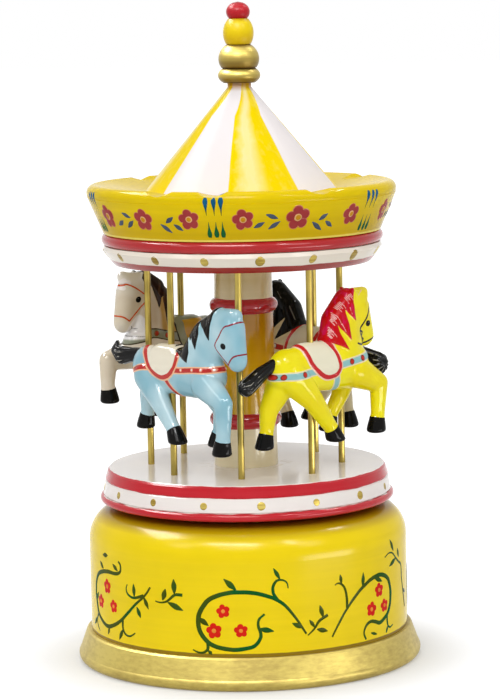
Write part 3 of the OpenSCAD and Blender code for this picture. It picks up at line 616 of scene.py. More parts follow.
def make_horse(colour, look):
    """One carved horse with its tail. Each layer of paint also stands a little proud of the wood."""
    name = colour + "_carved_horse"
    mesh = carved(name, horse_rows(look), sanding=14)
    place, normal = vertices_of(mesh), vertices_of(mesh, "normal")
    side = place[:, 1:]
    eye_at, eye_up = look["eye"]
    paint = {
        "saddle": patch(side, look["saddle"]),
        "strap": brushed(side, look["strap"], look["strap_half"]),
        "girth": brushed(side, look["girth"], look["strap_half"]),
        "studs": spots(side, look["studs"], look["stud_r"]),
        "bridle": np.max([brushed(side, line, look["line"]) for line in look["bridle"]], axis=0),
        "mane": np.max([patch(side, lock, smooth=False) for lock in look["locks"]]
                       + [brushed(side, line, 0.5) for line in look["crest"]], axis=0),
        # Shine: short strokes of painted highlight on the manes and the yellow horse's brow; on the white
        # horse they are dark lines.
        "shine": np.max([brushed(side, line, 0.11) for line in look["shine"]], axis=0),
        "eye": spots(side, [(eye_at + k, eye_up) for k in (-0.15, 0.15)], 0.88),
        "glint": spots(side, [(eye_at + 0.2, eye_up + 0.25)], 0.16),
        "tuft": spots(side, look["tuft"], 0.75),
        "wash": patch(side, look["wash"]),
        "blaze": patch(side, look["blaze"]),
        "hoof": hoof_depth(place, look["gait"]),
    }
    heights = dict(saddle=0.16, strap=0.12, girth=0.12, mane=look["lock_depth"], bridle=0.07, hoof=0.15,
                   eye=0.08, studs=0.12)
    proud = sum(height * rise(paint[layer], 0.6 if layer == "mane" else 0.35)
                for layer, height in heights.items())
    for layer, depth in paint.items():
        keep_values(mesh, layer, depth)
    set_on_pole(mesh, look["pole"], look["lift"], place + normal * proud[:, None])
    horse = as_object(name, mesh, horse_paint(name, list(paint), look))
    take_place(horse, colour + "_horse")
    make_tail(name + "_tail", colour + "_horse_tail", look)


GROOVES, GROOVE_DEPTH = 11, 0.13


def make_tail(name, node, look):
    """A glued-on tail with the hair cut into it as long grooves."""
    mesh = carved(name, [(0.85, *look["tail"])], sanding=8, voxel=0.2)
    place, normal = vertices_of(mesh), vertices_of(mesh, "normal")
    line = smooth_line([(b[0], b[2]) for b in look["tail"]])
    back = np.clip((-place[:, 1] - 15) / 6, 0, 1)
    middle = np.interp(place[:, 1], line[::-1, 0], line[::-1, 1])
    round_it = np.arctan2(place[:, 0], place[:, 2] - middle)
    comb = np.cos(round_it * GROOVES + place[:, 1] * 0.25)
    set_on_pole(mesh, look["pole"], look["lift"], place + normal * (comb * GROOVE_DEPTH * back)[:, None])
    keep_values(mesh, "comb", comb * back)
    tail = as_object(name, mesh, FINISH["tail_" + look["hair"]])
    take_place(tail, node)


CRISP = 0.08


def horse_paint(name, layers, look):
    """The coat first, then harness, saddle, mane and face, in the order in which they are painted."""
    tone = dict(mane=BLACK, tuft=BLACK, stud=WHITE, eye=BLACK, hoof=BLACK, glint=linear(150, 160, 160))
    tone.update((part, linear(*colour)) for part, colour in look["colours"].items())

    def colours(paint):
        depth = {layer: paint.attribute(layer) + wobble(paint, 0.07, 900.0) for layer in layers}
        smear = ((paint.noise(75.0, 2.0) - 0.4) * 3).clamped()
        hair = ((paint.streaks(900, 900, 160, 3.0) - 0.52) * 8).clamped()
        tone["hair"] = paint.mix(hair, tone["mane"], tone["mane_light"])
        colour = paint.mix(smear, tone["coat"], tone["coat_light"])
        for layer, edge, part, soft in (
                ("wash", 0.4, "wash", 1.6), ("girth", -0.38, "strap_edge", CRISP),
                ("girth", 0, "strap", CRISP), ("strap", -0.38, "strap_edge", CRISP),
                ("strap", 0, "strap", CRISP), ("blaze", 0.2, "blaze", 0.5),
                ("studs", -0.2, "stud_edge", CRISP), ("studs", 0.05, "stud", CRISP),
                ("saddle", -0.45, "saddle_edge", CRISP), ("saddle", 0, "saddle_border", CRISP),
                ("saddle", look["border"], "seat", CRISP), ("mane", 0, "hair", CRISP),
                ("shine", 0, "shine", CRISP), ("tuft", 0, "tuft", CRISP), ("bridle", 0, "bridle", CRISP),
                ("eye", 0, "eye", CRISP), ("glint", 0, "glint", CRISP), ("hoof", 0, "hoof", CRISP)):
            # Where a horse hasn't got a part, its coat stays.
            colour = paint.mix(depth[layer].above(edge, soft), colour, tone.get(part, tone["coat"]))
        return colour

    def dark_parts(paint):
        mane, hoof, eye = (paint.attribute(layer) for layer in ("mane", "hoof", "eye"))
        return mane.most(hoof).most(eye).above(0, 0.1) * (look["varnish"] - 0.12)

    return enamel(name + "_paint", colours, (140, 140, 240), shade=0.05, gloss=0.12, bump=0.1,
                  film=1.11, coat=look["varnish"], matt=dark_parts)


def dashes(points, step, by):
    """Short brush dabs of painted highlight side by side along a line, long and short in turn."""
    line = smooth_line(points)
    run = np.concatenate([[0], np.cumsum(np.linalg.norm(np.diff(line, axis=0), axis=1))])
    made = []
    for k, at in enumerate(np.arange(0, run[-1], step)):
        if k % 9 > 5:
            continue
        x, y = np.interp(at, run, line[:, 0]), np.interp(at, run, line[:, 1])
        long = (1.0, 1.9, 0.7, 1.4)[k % 4]
        made.append([(x, y), (x + by[0] * long, y + by[1] * long)])
    return made


BLUE_SADDLE = [(-10.6, 8.6), (-9.4, 5.6), (-7.6, 3.4), (-5.4, 0.8), (-3.0, -1.2), (0.5, -2.2), (4.0, -1.2),
               (6.2, 0.9), (6.8, 3.4), (6.4, 5.4), (5.6, 8.6)]
BLUE_GIRTH = [(2.2, -2.2), (3.6, -4.4), (5.2, -6.6), (6.4, -9)]
YELLOW_SADDLE = [(-7.0, 9.2), (-5.6, 6.2), (-4.9, 4.0), (-3.9, 1.6), (-1.3, -1.0), (1.2, -2.6), (3.6, -3.1),
                 (6.4, -2.4), (7.8, -0.6), (7.8, 2.4), (6.9, 5.4), (5.6, 7.4), (4.4, 9.2)]
YELLOW_GIRTH = [(6.2, -2.4), (6.8, -4), (7.4, -6.4), (8, -9)]
OFF_THE_HORSE = [(90, 90), (91, 90), (91, 91)]

# What the horses share unless their own list says otherwise.
ALL_HORSES = dict(lift=0, ears=True, mane=(), lock_depth=0.3, line=0.24, varnish=0.62, hair="black",
                  border=1.25, tuft=OFF_THE_HORSE, wash=OFF_THE_HORSE, blaze=OFF_THE_HORSE)

# Balls and paint of each horse. Outlines and lines of paint are (forward, up).
HORSES = {
    "blue": dict(
        pole=1, head=(6, -2.4), ears=False, saddle=BLUE_SADDLE, girth=BLUE_GIRTH,
        face=((25.3, 0, 13.5, 4.9), (23.8, 0, 9.3, 4.3), (27.8, 0, 5.1, 3.4)),
        brow_top=((26.8, 0, 16.9, 2.5), (27.6, 0, 17.2, 2.1)),
        gait=((0, 1), (-1.3, 2), (1.2, -1.6), (2.7, 0)),
        tail=((-13.2, 0, 4.0, 1.4), (-17.6, 0, 3.0, 2.1), (-21.7, 0, 2.5, 2.6), (-24.4, 0, 3.8, 1.7),
              (-23.9, 0, 6.3, 0.5)),
        strap_half=0.62, strap=[(-17, -1.4), (-12.9, -0.8), (-7.5, 0.8), (0, 0.9), (7.5, 0.9), (13.8, 1.5),
                                (19.2, 1.8), (26, 2.6)],
        stud_r=0.36, studs=[(-12.9, -0.7), (9.1, 1.2), (13.8, 1.6), (17.2, 1.8), (20.6, 1.9)],
        bridle=[[(31, 16.4), (27.8, 15.0), (26.2, 14.4), (24.1, 11.9), (21.6, 8.9), (23.4, 6.6), (26.4, 3.8)],
                [(26.4, 3.8), (28.5, 6.0), (30.4, 6.8), (33, 7.2)]],
        locks=[[(22.2, 20.4), (17, 19.8), (12.3, 17.4), (14.8, 15.0), (17.6, 13.2), (20.0, 10.1),
                (20.5, 14.2), (21.4, 18.0)],
               [(13.6, 17.6), (9.6, 15.0), (11.9, 11.2), (15.0, 7.2), (15.9, 11.7), (15.0, 14.6)],
               [(9.6, 14.6), (7.8, 12.4), (12.3, 9.6), (12.8, 12.2), (11.8, 14.2)],
               [(9.6, 10.2), (6.4, 8.6), (4.4, 6.0), (7.2, 4.8), (11.6, 3.4), (12.2, 6.4), (11.2, 9.2)]],
        crest=[[(15, 18.4), (11.1, 15.4), (8.2, 12.0), (6.4, 9.0), (3.6, 7.4)]],
        shine=[[(18.4, 16.8), (18.9, 13.9)], [(14.2, 13.6), (14.7, 10.4)], [(13.2, 14.0), (14.0, 11.0)],
               [(19.4, 18.4), (19.9, 15.0)]],
        eye=(25.3, 9.0),
        colours=dict(coat=(140, 188, 203), coat_light=(204, 230, 236), strap=(190, 34, 26),
                     strap_edge=(246, 190, 150), stud_edge=(238, 150, 120), saddle_edge=(246, 192, 152),
                     saddle_border=(196, 38, 26), seat=(240, 232, 212), mane_light=(44, 40, 36),
                     shine=(120, 120, 118), bridle=(140, 28, 44))),
    "yellow": dict(
        pole=3, head=(0, 0), saddle=YELLOW_SADDLE, girth=YELLOW_GIRTH,
        varnish=0.34, line=0.29, lock_depth=0.35,
        mane=((6.8, 0, 6, 2.6), (8.8, 0, 13, 2.8), (13.6, 0, 19, 2.3)),
        face=((18.0, 0, 15.4, 4.8), (17.8, 0, 11.0, 4.3), (21.4, 0, 7.6, 3.3)),
        brow_top=((19.8, 0, 19.0, 2.6), (21.2, 0, 20.1, 1.5)),
        gait=((0.8, 0), (-0.7, -1.4), (-0.4, -0.3), (-2.8, 1.6)),
        tail=((-14.2, 0, 2.4, 1.7), (-19.4, 0, 0.0, 2.2), (-24.6, 0, -3, 2.5)),
        strap_half=0.85, strap=[(-18, -1.2), (-13.6, -1.0), (-9.8, -0.9), (-3.5, -0.5), (2, -0.2), (8.3, 0.6),
                                (12.2, 1.1), (17, 1.8), (23, 2.8)],
        stud_r=0.68, studs=[(-15.4, -1.0), (-13.2, -1.0), (-7.3, -0.7), (12.0, 1.1), (16.5, 1.7)],
        bridle=[[(22.2, 17.2), (20.8, 15.3), (19.6, 12.8), (16.9, 9.8), (17.4, 8.0), (18.8, 6.0)],
                [(17.0, 9.4), (18.0, 8.9), (17.9, 7.6), (18.9, 6.8), (19.0, 5.8)],
                [(15.2, 6.0), (17.6, 5.4), (19.8, 5.6), (23.6, 6.9)]],
        locks=[[(15.2, 25), (15.0, 21.2), (14.4, 17.8), (14.8, 12.3), (12.8, 14.2), (11.2, 16.0),
                (12.0, 11.6), (12.5, 6.9), (10.4, 9.4), (8.0, 11.8), (9.4, 8.4), (11.4, 4.5),
                (8.4, 6.0), (5.5, 7.0), (4.4, 7.6), (2.6, 8.2), (0, 10), (0, 16), (6, 25)]],
        crest=[[(3.6, 8.8), (3.6, 10)]],
        shine=dashes([(13.8, 20.2), (11.6, 18.9), (7.8, 15.7), (6.2, 12.2), (5.4, 8.6)], 0.46, (0.5, -0.85))
              + [[(8.0, 14.4), (9.4, 11.8)], [(9.6, 12.0), (10.6, 9.6)], [(6.2, 10.4), (7.6, 8.4)],
                 [(13.0, 16.4), (13.3, 14.4)], [(16.8, 19.6), (19.2, 21.0)]],
        eye=(20.4, 11.2), tuft=[(13.0, 23.2), (14.2, 23.0)],
        colours=dict(coat=(246, 226, 4), coat_light=(255, 246, 30), strap=(150, 200, 200),
                     strap_edge=(246, 228, 186), stud=(200, 44, 30), stud_edge=(120, 40, 24),
                     saddle_edge=(250, 214, 190), saddle_border=(206, 36, 40), seat=(244, 238, 212),
                     mane=(206, 18, 22), mane_light=(216, 26, 84), shine=(244, 190, 186),
                     tuft=(140, 124, 40), bridle=(30, 26, 16))),
    "cream": dict(
        pole=5, head=(1.8, -1.6), saddle=YELLOW_SADDLE, girth=YELLOW_GIRTH, lock_depth=0.35,
        mane=((6.8, 0, 6, 2.6), (9.7, 0, 12.2, 2.8), (15.4, 0, 17.4, 2.3)),
        face=((20.4, 0, 14.0, 4.7), (19.4, 0, 9.8, 4.2), (23.0, 0, 5.8, 3.3)),
        brow_top=((21.5, 0, 17.0, 2.5), (22.8, 0, 17.8, 1.7)),
        gait=((0, 0), (-3.4, 0), (0, 0), (-4.6, -2.2)),
        tail=((-14.2, 0, 2.4, 1.9), (-20.2, 0, 0.6, 2.5), (-26.8, 0, -1.4, 3.3)),
        strap_half=0.8, strap=[(-18, -1.2), (-9.8, -0.9), (-3.5, -0.4), (8.3, 0.6), (17, 1.6), (24, 2.6)],
        stud_r=0.6, studs=[(-13.2, -1.0), (-7.3, -0.7), (12.0, 1.1), (16.5, 1.6)],
        bridle=[[(24.0, 15.4), (22.6, 13.7), (21.0, 11.2), (18.7, 8.2), (19.4, 6.4), (20.6, 4.4)],
                [(17.0, 4.4), (21.6, 4.0), (25.4, 5.3)]],
        locks=[[(17.0, 23), (16.8, 19.6), (16.4, 16.2), (17.0, 10.7), (14.6, 12.6), (13.0, 14.0),
                (13.4, 9.6), (14.2, 4.9), (11.6, 7.4), (9.0, 9.8), (10.4, 6.4), (12.4, 2.8),
                (9.0, 4.6), (5.5, 6.6), (4.4, 7.4), (2.6, 8.2), (0, 10), (0, 16), (6, 23)]],
        crest=[[(3.6, 8.8), (3.6, 10)]], shine=[[(6, 9), (8, 13)], [(11, 15), (13, 17)]], eye=(22.3, 9.6),
        colours=dict(coat=(214, 198, 156), coat_light=(236, 226, 196), strap=(190, 40, 34),
                     strap_edge=(240, 214, 170), stud_edge=(120, 40, 24), saddle_edge=(250, 214, 190),
                     saddle_border=(204, 34, 30), seat=(236, 228, 204), mane_light=(40, 38, 36),
                     shine=(110, 108, 104), bridle=(150, 40, 30))),
    "white": dict(
        pole=7, lift=3.8, head=(1, 0), girth=BLUE_GIRTH, border=2.6, hair="brown",
        saddle=[(min(x, 0) + max(x, 0) * 0.72, z) for x, z in BLUE_SADDLE],
        mane=((6.9, 0, 6, 2.6), (7.2, 0, 12.4, 2.7), (9.9, 0, 16.8, 2.4), (13.8, 0, 19.6, 2.2)),
        face=((19.6, 0, 15.6, 4.7), (18.4, 0, 11.6, 4.1), (22.2, 0, 7.4, 3.3)),
        brow_top=((20.7, 0, 19.4, 2.5), (22.2, 0, 20.6, 1.7)),
        gait=((0, 0), (0, 0), (2.3, 3.9), (0, 0)),
        tail=((-14.2, 0, 2.4, 1.7), (-19, 0, 1.0, 2.3), (-24, 0, 0, 2.5)),
        strap_half=1.1, strap=[(-17, -0.8), (-12, 0), (-5, 0.6), (7.2, 2.2), (14.0, 3.7), (17, 3.0),
                               (22, 2.0)],
        stud_r=0.7, studs=[(13.4, 3.6), (9.2, 2.6), (-9, 0.2), (-13, -0.2)],
        bridle=[[(26, 17.6), (23.3, 18.2), (21.8, 18.4), (17.9, 16.1), (15.8, 14.1), (18.4, 11.2),
                 (21.9, 7.8)],
                [(21.9, 7.8), (24.2, 9.2), (27, 9.6)]],
        locks=[[(16.8, 22.6), (13.0, 21.2), (8.4, 18.6), (8.0, 15.8), (9.9, 13.2), (11.7, 10.7), (12.7, 14.4),
                (13.4, 17.1), (15.6, 19.0)],
               [(9.2, 17.4), (5.0, 15.2), (3.0, 11.0), (4.6, 7.6), (8.4, 5.3), (8.7, 10.1), (9.1, 13.4)],
               [(16.6, 21.4), (15.6, 20), (16.2, 17.6), (17.2, 20)]],
        crest=[[(8, 19), (4.6, 15.4), (2.6, 11.6), (2, 7.6)]],
        wash=[(11.6, 19.6), (12.2, 14), (11.4, 9), (11.4, 3.4), (4, 2.4), (1, 9), (4, 17), (8, 20)],
        blaze=[(20.7, 8.0), (18.2, 9.6), (15.8, 6.9), (15.6, 2.6), (23.4, 2.2), (22.4, 5.4)],
        shine=[[(15.6, 2.8), (19.5, 3.0), (23.4, 3.4)], [(20.8, 6.2), (19.8, 5.3), (18.4, 5.4)]],
        eye=(18.9, 13.9), tuft=[(24.2, 18.8), (22.8, 19.6), (21.6, 19.0), (23.4, 17.6)],
        colours=dict(coat=(222, 208, 184), coat_light=(246, 240, 228), strap=(148, 152, 130),
                     strap_edge=(70, 64, 44), stud=(180, 60, 44), stud_edge=(120, 90, 50),
                     saddle_edge=(50, 48, 34), saddle_border=(158, 162, 132), seat=(214, 164, 44),
                     mane=(50, 34, 26), mane_light=(84, 62, 44), wash=(206, 168, 96),
                     blaze=(252, 250, 250), shine=(30, 26, 22), tuft=(252, 244, 238),
                     bridle=(206, 84, 40))),
}


for colour, own_look in HORSES.items():
    make_horse(colour, {**ALL_HORSES, **own_look})


# ---- painted ornament ----
# All of it is laid out flat first: degrees round from the front, to the right, and millimetres up.
# A small Geometry Nodes tree gives each stroke its body and lays it on the turned wood.

OUTSIDE = 60 * MM


def lay_on_wood(g, given, flat):
    """Rolls flat ornament round the axis and drops it from outside on the surface of the wood."""
    place = g.add("InputPosition")
    x, y, relief = g.parts(place)
    shake = g.add("ShaderNodeTexNoise", out="Color", Vector=place, Scale=260.0, Detail=2.0)
    dx, dy = (part - 0.5 for part in g.parts(shake)[:2])
    x, y = x + dx * given["Hand shake"], y + dy * given["Hand shake"]
    turn = x / given["Unrolled radius"]
    out_x, out_y = turn.maths("SINE"), turn.maths("COSINE") * -1
    inward = g.point(-out_x, -out_y, 0.0)
    start = g.point(out_x * OUTSIDE, out_y * OUTSIDE, y)
    wood = g.add("ObjectInfo", given["Wood"], out="Geometry", settings={"transform_space": "RELATIVE"})
    hit = g.add("Raycast", out="Hit Distance", Target_Geometry=wood, Source_Position=start,
                Ray_Direction=inward, Ray_Length=OUTSIDE)
    r = relief + OUTSIDE - hit
    at = g.point(out_x * r, out_y * r, y)
    return g.add("SetPosition", flat, Position=at)


def any_from(g, least, most, seed):
    """A random number for each point, the same in every run."""
    return g.add("FunctionNodeRandomValue", None, None, least, most, out=1, Seed=seed,
                 settings={"data_type": "FLOAT"})


def brush_strokes(g, given):
    """Each edge path becomes a low rounded stroke as wide as its points' width."""
    path = g.add("MeshToCurve", given["Geometry"])
    path = g.add("CurveSplineType", path, settings={"spline_type": "CATMULL_ROM"})
    width = g.add("InputNamedAttribute", "half_width", settings={"data_type": "FLOAT"})
    path = g.add("SetCurveNormal", path, settings={"mode": "Z_UP"})
    path = g.add("ResampleCurve", path, Length=given["Step"], settings={"mode": "LENGTH"})
    bristle = g.add("CurvePrimitiveCircle", Resolution=8, Radius=1.0, settings={"mode": "RADIUS"})
    bristle = g.add("Transform", bristle, Scale=(1.0, 0.2, 1.0))
    stroke = g.add("CurveToMesh", path, bristle, Scale=width, Fill_Caps=True)
    return lay_on_wood(g, given, stroke)


def dab(g, radius, height, segments=16):
    """A ball pressed flat. Its height is a share of its radius."""
    ball = g.add("MeshUVSphere", Segments=segments, Rings=8, Radius=radius)
    return g.add("Transform", ball, Scale=g.point(1.0, 1.0, height))


def ring_of_dots(g, given):
    """The same dot, over and over round a band."""
    index = g.add("InputIndex")
    share = (index / given["Count"] + given["First"]) * given["Unrolled radius"] * (2 * pi)
    place = g.point(share, given["Height"], 0.0)
    points = g.add("Points", given["Count"], place)
    dot = dab(g, given["Dot radius"], 0.07, segments=20)
    dots = g.add("InstanceOnPoints", points, Instance=dot, Scale=any_from(g, 0.85, 1.12, seed=4))
    return lay_on_wood(g, given, g.add("RealizeInstances", dots))


def flower_petals(g, given):
    """Five round petals about each point and a dab behind its heart, with each flower turned a little."""
    petal = dab(g, given["Flower radius"] * 0.44 + given["Edge"], given["Relief"])
    five = g.add("MeshCircle", Vertices=5, Radius=given["Flower radius"] * 0.6,
                 settings={"fill_type": "NONE"})
    five = g.add("Transform", five, Rotation=(0, 0, radians(18)))
    petals = g.add("InstanceOnPoints", five, Instance=petal)
    middle = dab(g, given["Flower radius"] * 0.4, given["Relief"])
    flower = g.add("JoinGeometry")
    for part in (petals, middle):
        g.tree.links.new(part.socket, flower.socket.node.inputs[0])
    return lay_on_wood(g, given, spread_flowers(g, given, flower))


def flower_hearts(g, given):
    """The dab of another colour in the middle of each flower."""
    heart = dab(g, given["Heart radius"], given["Heart height"], segments=14)
    return lay_on_wood(g, given, spread_flowers(g, given, heart))


def spread_flowers(g, given, flower):
    """A flower on each point, each a little turned and of its own size."""
    turn = g.point(0.0, 0.0, any_from(g, -0.25, 0.25, seed=11))
    size = any_from(g, 0.92, 1.08, seed=7)
    put = g.add("InstanceOnPoints", given["Geometry"], Instance=flower, Rotation=turn, Scale=size)
    return g.add("RealizeInstances", put)


TREES = {}
KINDS = {float: "NodeSocketFloat", int: "NodeSocketInt", bpy.types.Object: "NodeSocketObject"}


def ornament(name, body, build, source, paint, slot=None, **sizes):
    """Runs one of the trees above on a source mesh and keeps the result as a plain painted piece."""
    sizes = {key.replace("_", " "): value for key, value in sizes.items()}
    key = (build.__name__, paint.name)
    if key not in TREES:
        tree = TREES[key] = bpy.data.node_groups.new(build.__name__, "GeometryNodeTree")
        tree.interface.new_socket("Geometry", in_out="INPUT", socket_type="NodeSocketGeometry")
        for label, value in sizes.items():
            tree.interface.new_socket(label, in_out="INPUT", socket_type=KINDS[type(value)])
        tree.interface.new_socket("Geometry", in_out="OUTPUT", socket_type="NodeSocketGeometry")
        g = Nodes(tree, "GeometryNode")
        entry = tree.nodes.new("NodeGroupInput")
        shape = build(g, {socket.name: Value(g, socket) for socket in entry.outputs if socket.name})
        shape = g.add("RealizeInstances", shape)
        shape = g.add("SetShadeSmooth", shape)
        shape = g.add("SetMaterial", shape, Material=paint)
        tree.links.new(shape.socket, tree.nodes.new("NodeGroupOutput").inputs[0])
    tree = TREES[key]
    flat = as_object(name + "_flat", source)
    modifier = flat.modifiers.new("ornament", "NODES")
    modifier.node_group = tree
    for socket in tree.interface.items_tree:
        if socket.in_out == "INPUT" and socket.name in sizes:
            modifier[socket.identifier] = sizes[socket.name]
    piece = as_object(name, evaluated(flat, name))
    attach(piece, body)


def flat_points(places, radius):
    """Points at (degrees, millimetres up) as a mesh with no edges."""
    mesh = bpy.data.meshes.new("points")
    mesh.from_pydata([(radians(a) * radius, h * MM, 0) for a, h in places], [], [])
    return mesh


def flat_strokes(strokes, radius, full=1.0):
    """Strokes as edge paths, each (half widths in mm, (degrees, mm up), ...). A full brush widens them."""
    places, edges, widths = [], [], []
    for half_widths, *points in strokes:
        start = len(places)
        shares = np.linspace(0, 1, len(points))
        marks = np.linspace(0, 1, len(half_widths))
        widths += list(np.interp(shares, marks, half_widths) * (full * MM))
        places += [(radians(a) * radius, h * MM, 0) for a, h in points]
        edges += [(k, k + 1) for k in range(start, len(places) - 1)]
    mesh = bpy.data.meshes.new("strokes")
    mesh.from_pydata(places, edges, [])
    keep_values(mesh, "half_width", widths)
    return mesh


STEM, FINE = (0.25, 0.5, 0.6, 0.5, 0.28), (0.4, 0.36, 0.26, 0.16)


def leaf(a, h, to_a, to_h, wide=0.62):
    """A leaf is one press of the brush."""
    middle = ((a + to_a) / 2, (h + to_h) / 2)
    return ((0.15, wide, 0.08), (a, h), middle, (to_a, to_h))


def shifted(strokes, by):
    """The same strokes some degrees further round."""
    return [(widths, *((a + by, h) for a, h in points)) for widths, *points in strokes]


LEFT_SCROLL = [
    (STEM, (-36.8, 27.7), (-39.5, 25), (-44, 22), (-50, 17.8), (-53.5, 15.8), (-58.5, 14), (-62, 13.6),
     (-66, 14.6), (-69.5, 16.4), (-71, 19), (-72, 22), (-71.5, 25), (-69, 27.7), (-65, 29), (-60, 29.6),
     (-56, 29.6), (-53, 30), (-51.6, 31), (-51.8, 32.6), (-53, 33.4)),
    (FINE, (-40, 25), (-43, 24.2), (-45.5, 23.9), (-48, 24.8), (-48.6, 26.2), (-48, 27.4)),
    (FINE, (-51, 16.8), (-51, 14.2), (-49.5, 12.8), (-47, 12.6), (-44.3, 13.8)),
    leaf(-44.5, 24.2, -44.7, 28), leaf(-40, 24.6, -37.7, 21.3), leaf(-43.3, 21.4, -41.5, 18.4),
    leaf(-51, 14.2, -53.4, 10.8), leaf(-59.8, 13.6, -61.3, 11.2, 0.5), leaf(-71.5, 14.6, -75.5, 12.2),
    (FINE, (-69.5, 16.4), (-71.5, 14.3), (-70.6, 12.4), (-68.5, 11.2)), leaf(-71.5, 20, -69, 22.4),
    leaf(-63.8, 30, -66.8, 31.8), leaf(-53.5, 30.6, -56.8, 32.3), leaf(-64, 34, -60, 34.3)]
CENTRE_SCROLL = [
    (STEM, (20, 15), (18.7, 16.6), (16, 20), (13, 23), (10, 25), (7, 26.2), (2, 27.4), (-4, 27.7), (-8, 27.4),
     (-12, 26.4), (-15, 24.8), (-17.5, 21.5), (-18, 18.5), (-17, 15.8), (-14.5, 13.4), (-11, 12), (-6, 11.4),
     (-2, 11.6), (1.5, 12.4), (3.6, 14.4), (3.8, 16), (3, 18), (3.3, 20), (5.2, 21.4)),
    (FINE, (10, 25), (8.5, 27), (8.4, 29), (9.6, 30.6), (11.5, 30.8), (13.2, 30), (13.6, 28.3)),
    (FINE, (-14.7, 13.2), (-14.8, 11.4), (-16.5, 10.4), (-18.5, 10.5), (-20.2, 11.1)),
    leaf(-4.4, 28.2, -8.7, 31.5, 0.75), leaf(-17.8, 20.3, -14.3, 18.1, 0.7), leaf(3.2, 17.2, 8.4, 16.4, 0.7),
    leaf(18.5, 16.8, 14.8, 18.4), leaf(10.8, 31, 8.5, 34.2, 0.5), leaf(-14.6, 11.2, -13.2, 9.8, 0.5)]
RIGHT_SCROLL = [
    (STEM, (30, 13.2), (32.5, 16.4), (36.5, 20.6), (40, 23.4), (44, 25.8), (48, 27.4), (52, 28.1),
     (55.5, 27.8), (58.8, 26.4), (60.5, 24), (61, 21.5), (60.4, 18.6), (58.5, 16.2), (55.5, 14.9),
     (53, 14.3), (50.5, 15), (48, 15.4), (45.5, 14.6), (44.3, 12.6), (45.4, 10.6)),
    (FINE, (36.5, 20.8), (36.3, 24), (35.5, 26.5), (34, 27.9), (32.5, 28.2), (31.4, 27.8)),
    (FINE, (58.3, 16.2), (58.2, 14), (58.8, 12.6), (60.5, 11.9), (62.5, 12.4)),
    leaf(34.2, 28, 33.6, 30.6, 0.5), leaf(44, 25.8, 44.3, 30), leaf(50.3, 27.8, 55, 26),
    leaf(48, 12.1, 51.5, 11.2, 0.4), leaf(58.6, 12.6, 57.3, 10.6, 0.5)]
SPRIG = [
    (FINE[::-1], (-34.7, 24), (-32.5, 23.7), (-30, 24.2), (-28, 25.5), (-26.4, 26.4), (-23.7, 26.4)),
    leaf(-31.6, 24.4, -30.4, 27.8, 0.75), leaf(-29.5, 24, -23.5, 22, 0.75),
    leaf(-26.8, 26.6, -27, 30.8, 0.75)]
LOW_SPRIG = [
    (FINE[::-1], (20.5, 14.5), (23, 16.2), (25, 18.3), (28.3, 19.6)),
    leaf(23.2, 16.6, 21.2, 18.9, 0.5), leaf(24, 16, 28.2, 15.1), leaf(26.4, 19.2, 25.2, 22.7)]
HIGH_SPRIG = [
    (FINE[::-1], (57, 32.6), (60, 33.4), (63, 33), (66, 31.2), (69, 29.6), (71.5, 28.4), (72.5, 24),
     (74.5, 19.5), (76.5, 15.5)),
    leaf(63.8, 33.6, 61, 37.2), leaf(66, 31.2, 60.2, 29.5), leaf(69, 31, 67.5, 33.8),
    leaf(73.5, 21, 78, 19.4, 0.5)]
SCROLLS = (LEFT_SCROLL + CENTRE_SCROLL + RIGHT_SCROLL + SPRIG + LOW_SPRIG + HIGH_SPRIG
           + shifted(CENTRE_SCROLL, 104) + shifted(LOW_SPRIG, 104) + shifted(RIGHT_SCROLL, 110)
           + shifted(SPRIG, 236) + shifted(CENTRE_SCROLL, 224) + shifted(LOW_SPRIG, 222))
# Out of sight at the back the centre and right scrolls repeat, with their flowers.
DRUM_FLOWERS = [(-61, 25.2), (-66.6, 20.2), (-56.6, 20), (-9.1, 22.3), (-12.4, 16.7), (-3, 16.8),
                (53, 23.8), (48.5, 18.9), (56.3, 18.9)]
DRUM_FLOWERS += [(a + 104, h) for a, h in DRUM_FLOWERS[3:6]] + [(a + 110, h) for a, h in DRUM_FLOWERS[6:9]]
DRUM_FLOWERS += [(a + 224, h) for a, h in DRUM_FLOWERS[3:6]]

CROWN_FLOWERS = [(-62, 130.7), (-40, 130.6), (-20, 131), (0.4, 130.9), (21.2, 131), (45.4, 131), (70, 130.8),
                 (90, 130.8), (114, 130.8), (146, 130.8), (168, 130.8), (190, 131), (222, 130.8),
                 (243, 130.8), (266, 130.8)]
CROWN_DROPS = (-72.5, -10, 56, 130, 206)
LEAF_HEIGHT = 130.3
RISING_LEAVES = ((-1, 1.9, 3.5, 0.7), (-5.5, -1.8, -1.5, -0.3), (0, -2.3, 4.5, -0.1))
FALLING_LEAVES = ((-1.8, -0.4, 1.8, 1.4), (-4.4, -0.8, 0.2, -3.3), (1.4, -0.8, 5, -2.5))
CROWN_LEAVES = ((-50, RISING_LEAVES), (-28, FALLING_LEAVES), (10, RISING_LEAVES), (32, FALLING_LEAVES),
                (80, RISING_LEAVES), (102, FALLING_LEAVES), (157, RISING_LEAVES), (179, FALLING_LEAVES),
                (232, RISING_LEAVES), (254, FALLING_LEAVES))


def trim(name, colour, shade=0.3):
    """Ornament colour, under the same varnish as the yellow ground. The colour may be a function of paint."""
    colour_of = colour if callable(colour) else lambda paint: linear(*colour)
    return enamel(name, colour_of, (200, 200, 200), shade=shade, film=1.06, coat=0.12)


def vine_colour(paint):
    olive = ((paint.noise(70.0, 1.0) - 0.4) * 5).clamped()
    return paint.mix(olive, linear(70, 84, 10), linear(10, 92, 36))


def drop_colour(paint):
    """Blue, running out into green at the tip."""
    return paint.mix(paint.z.below(134.2, 2.2), linear(22, 98, 142), linear(24, 78, 40))


DRUM_UNROLLED, CROWN_UNROLLED, DOTS_UNROLLED = 46.2 * MM, 42.2 * MM, 41.0 * MM


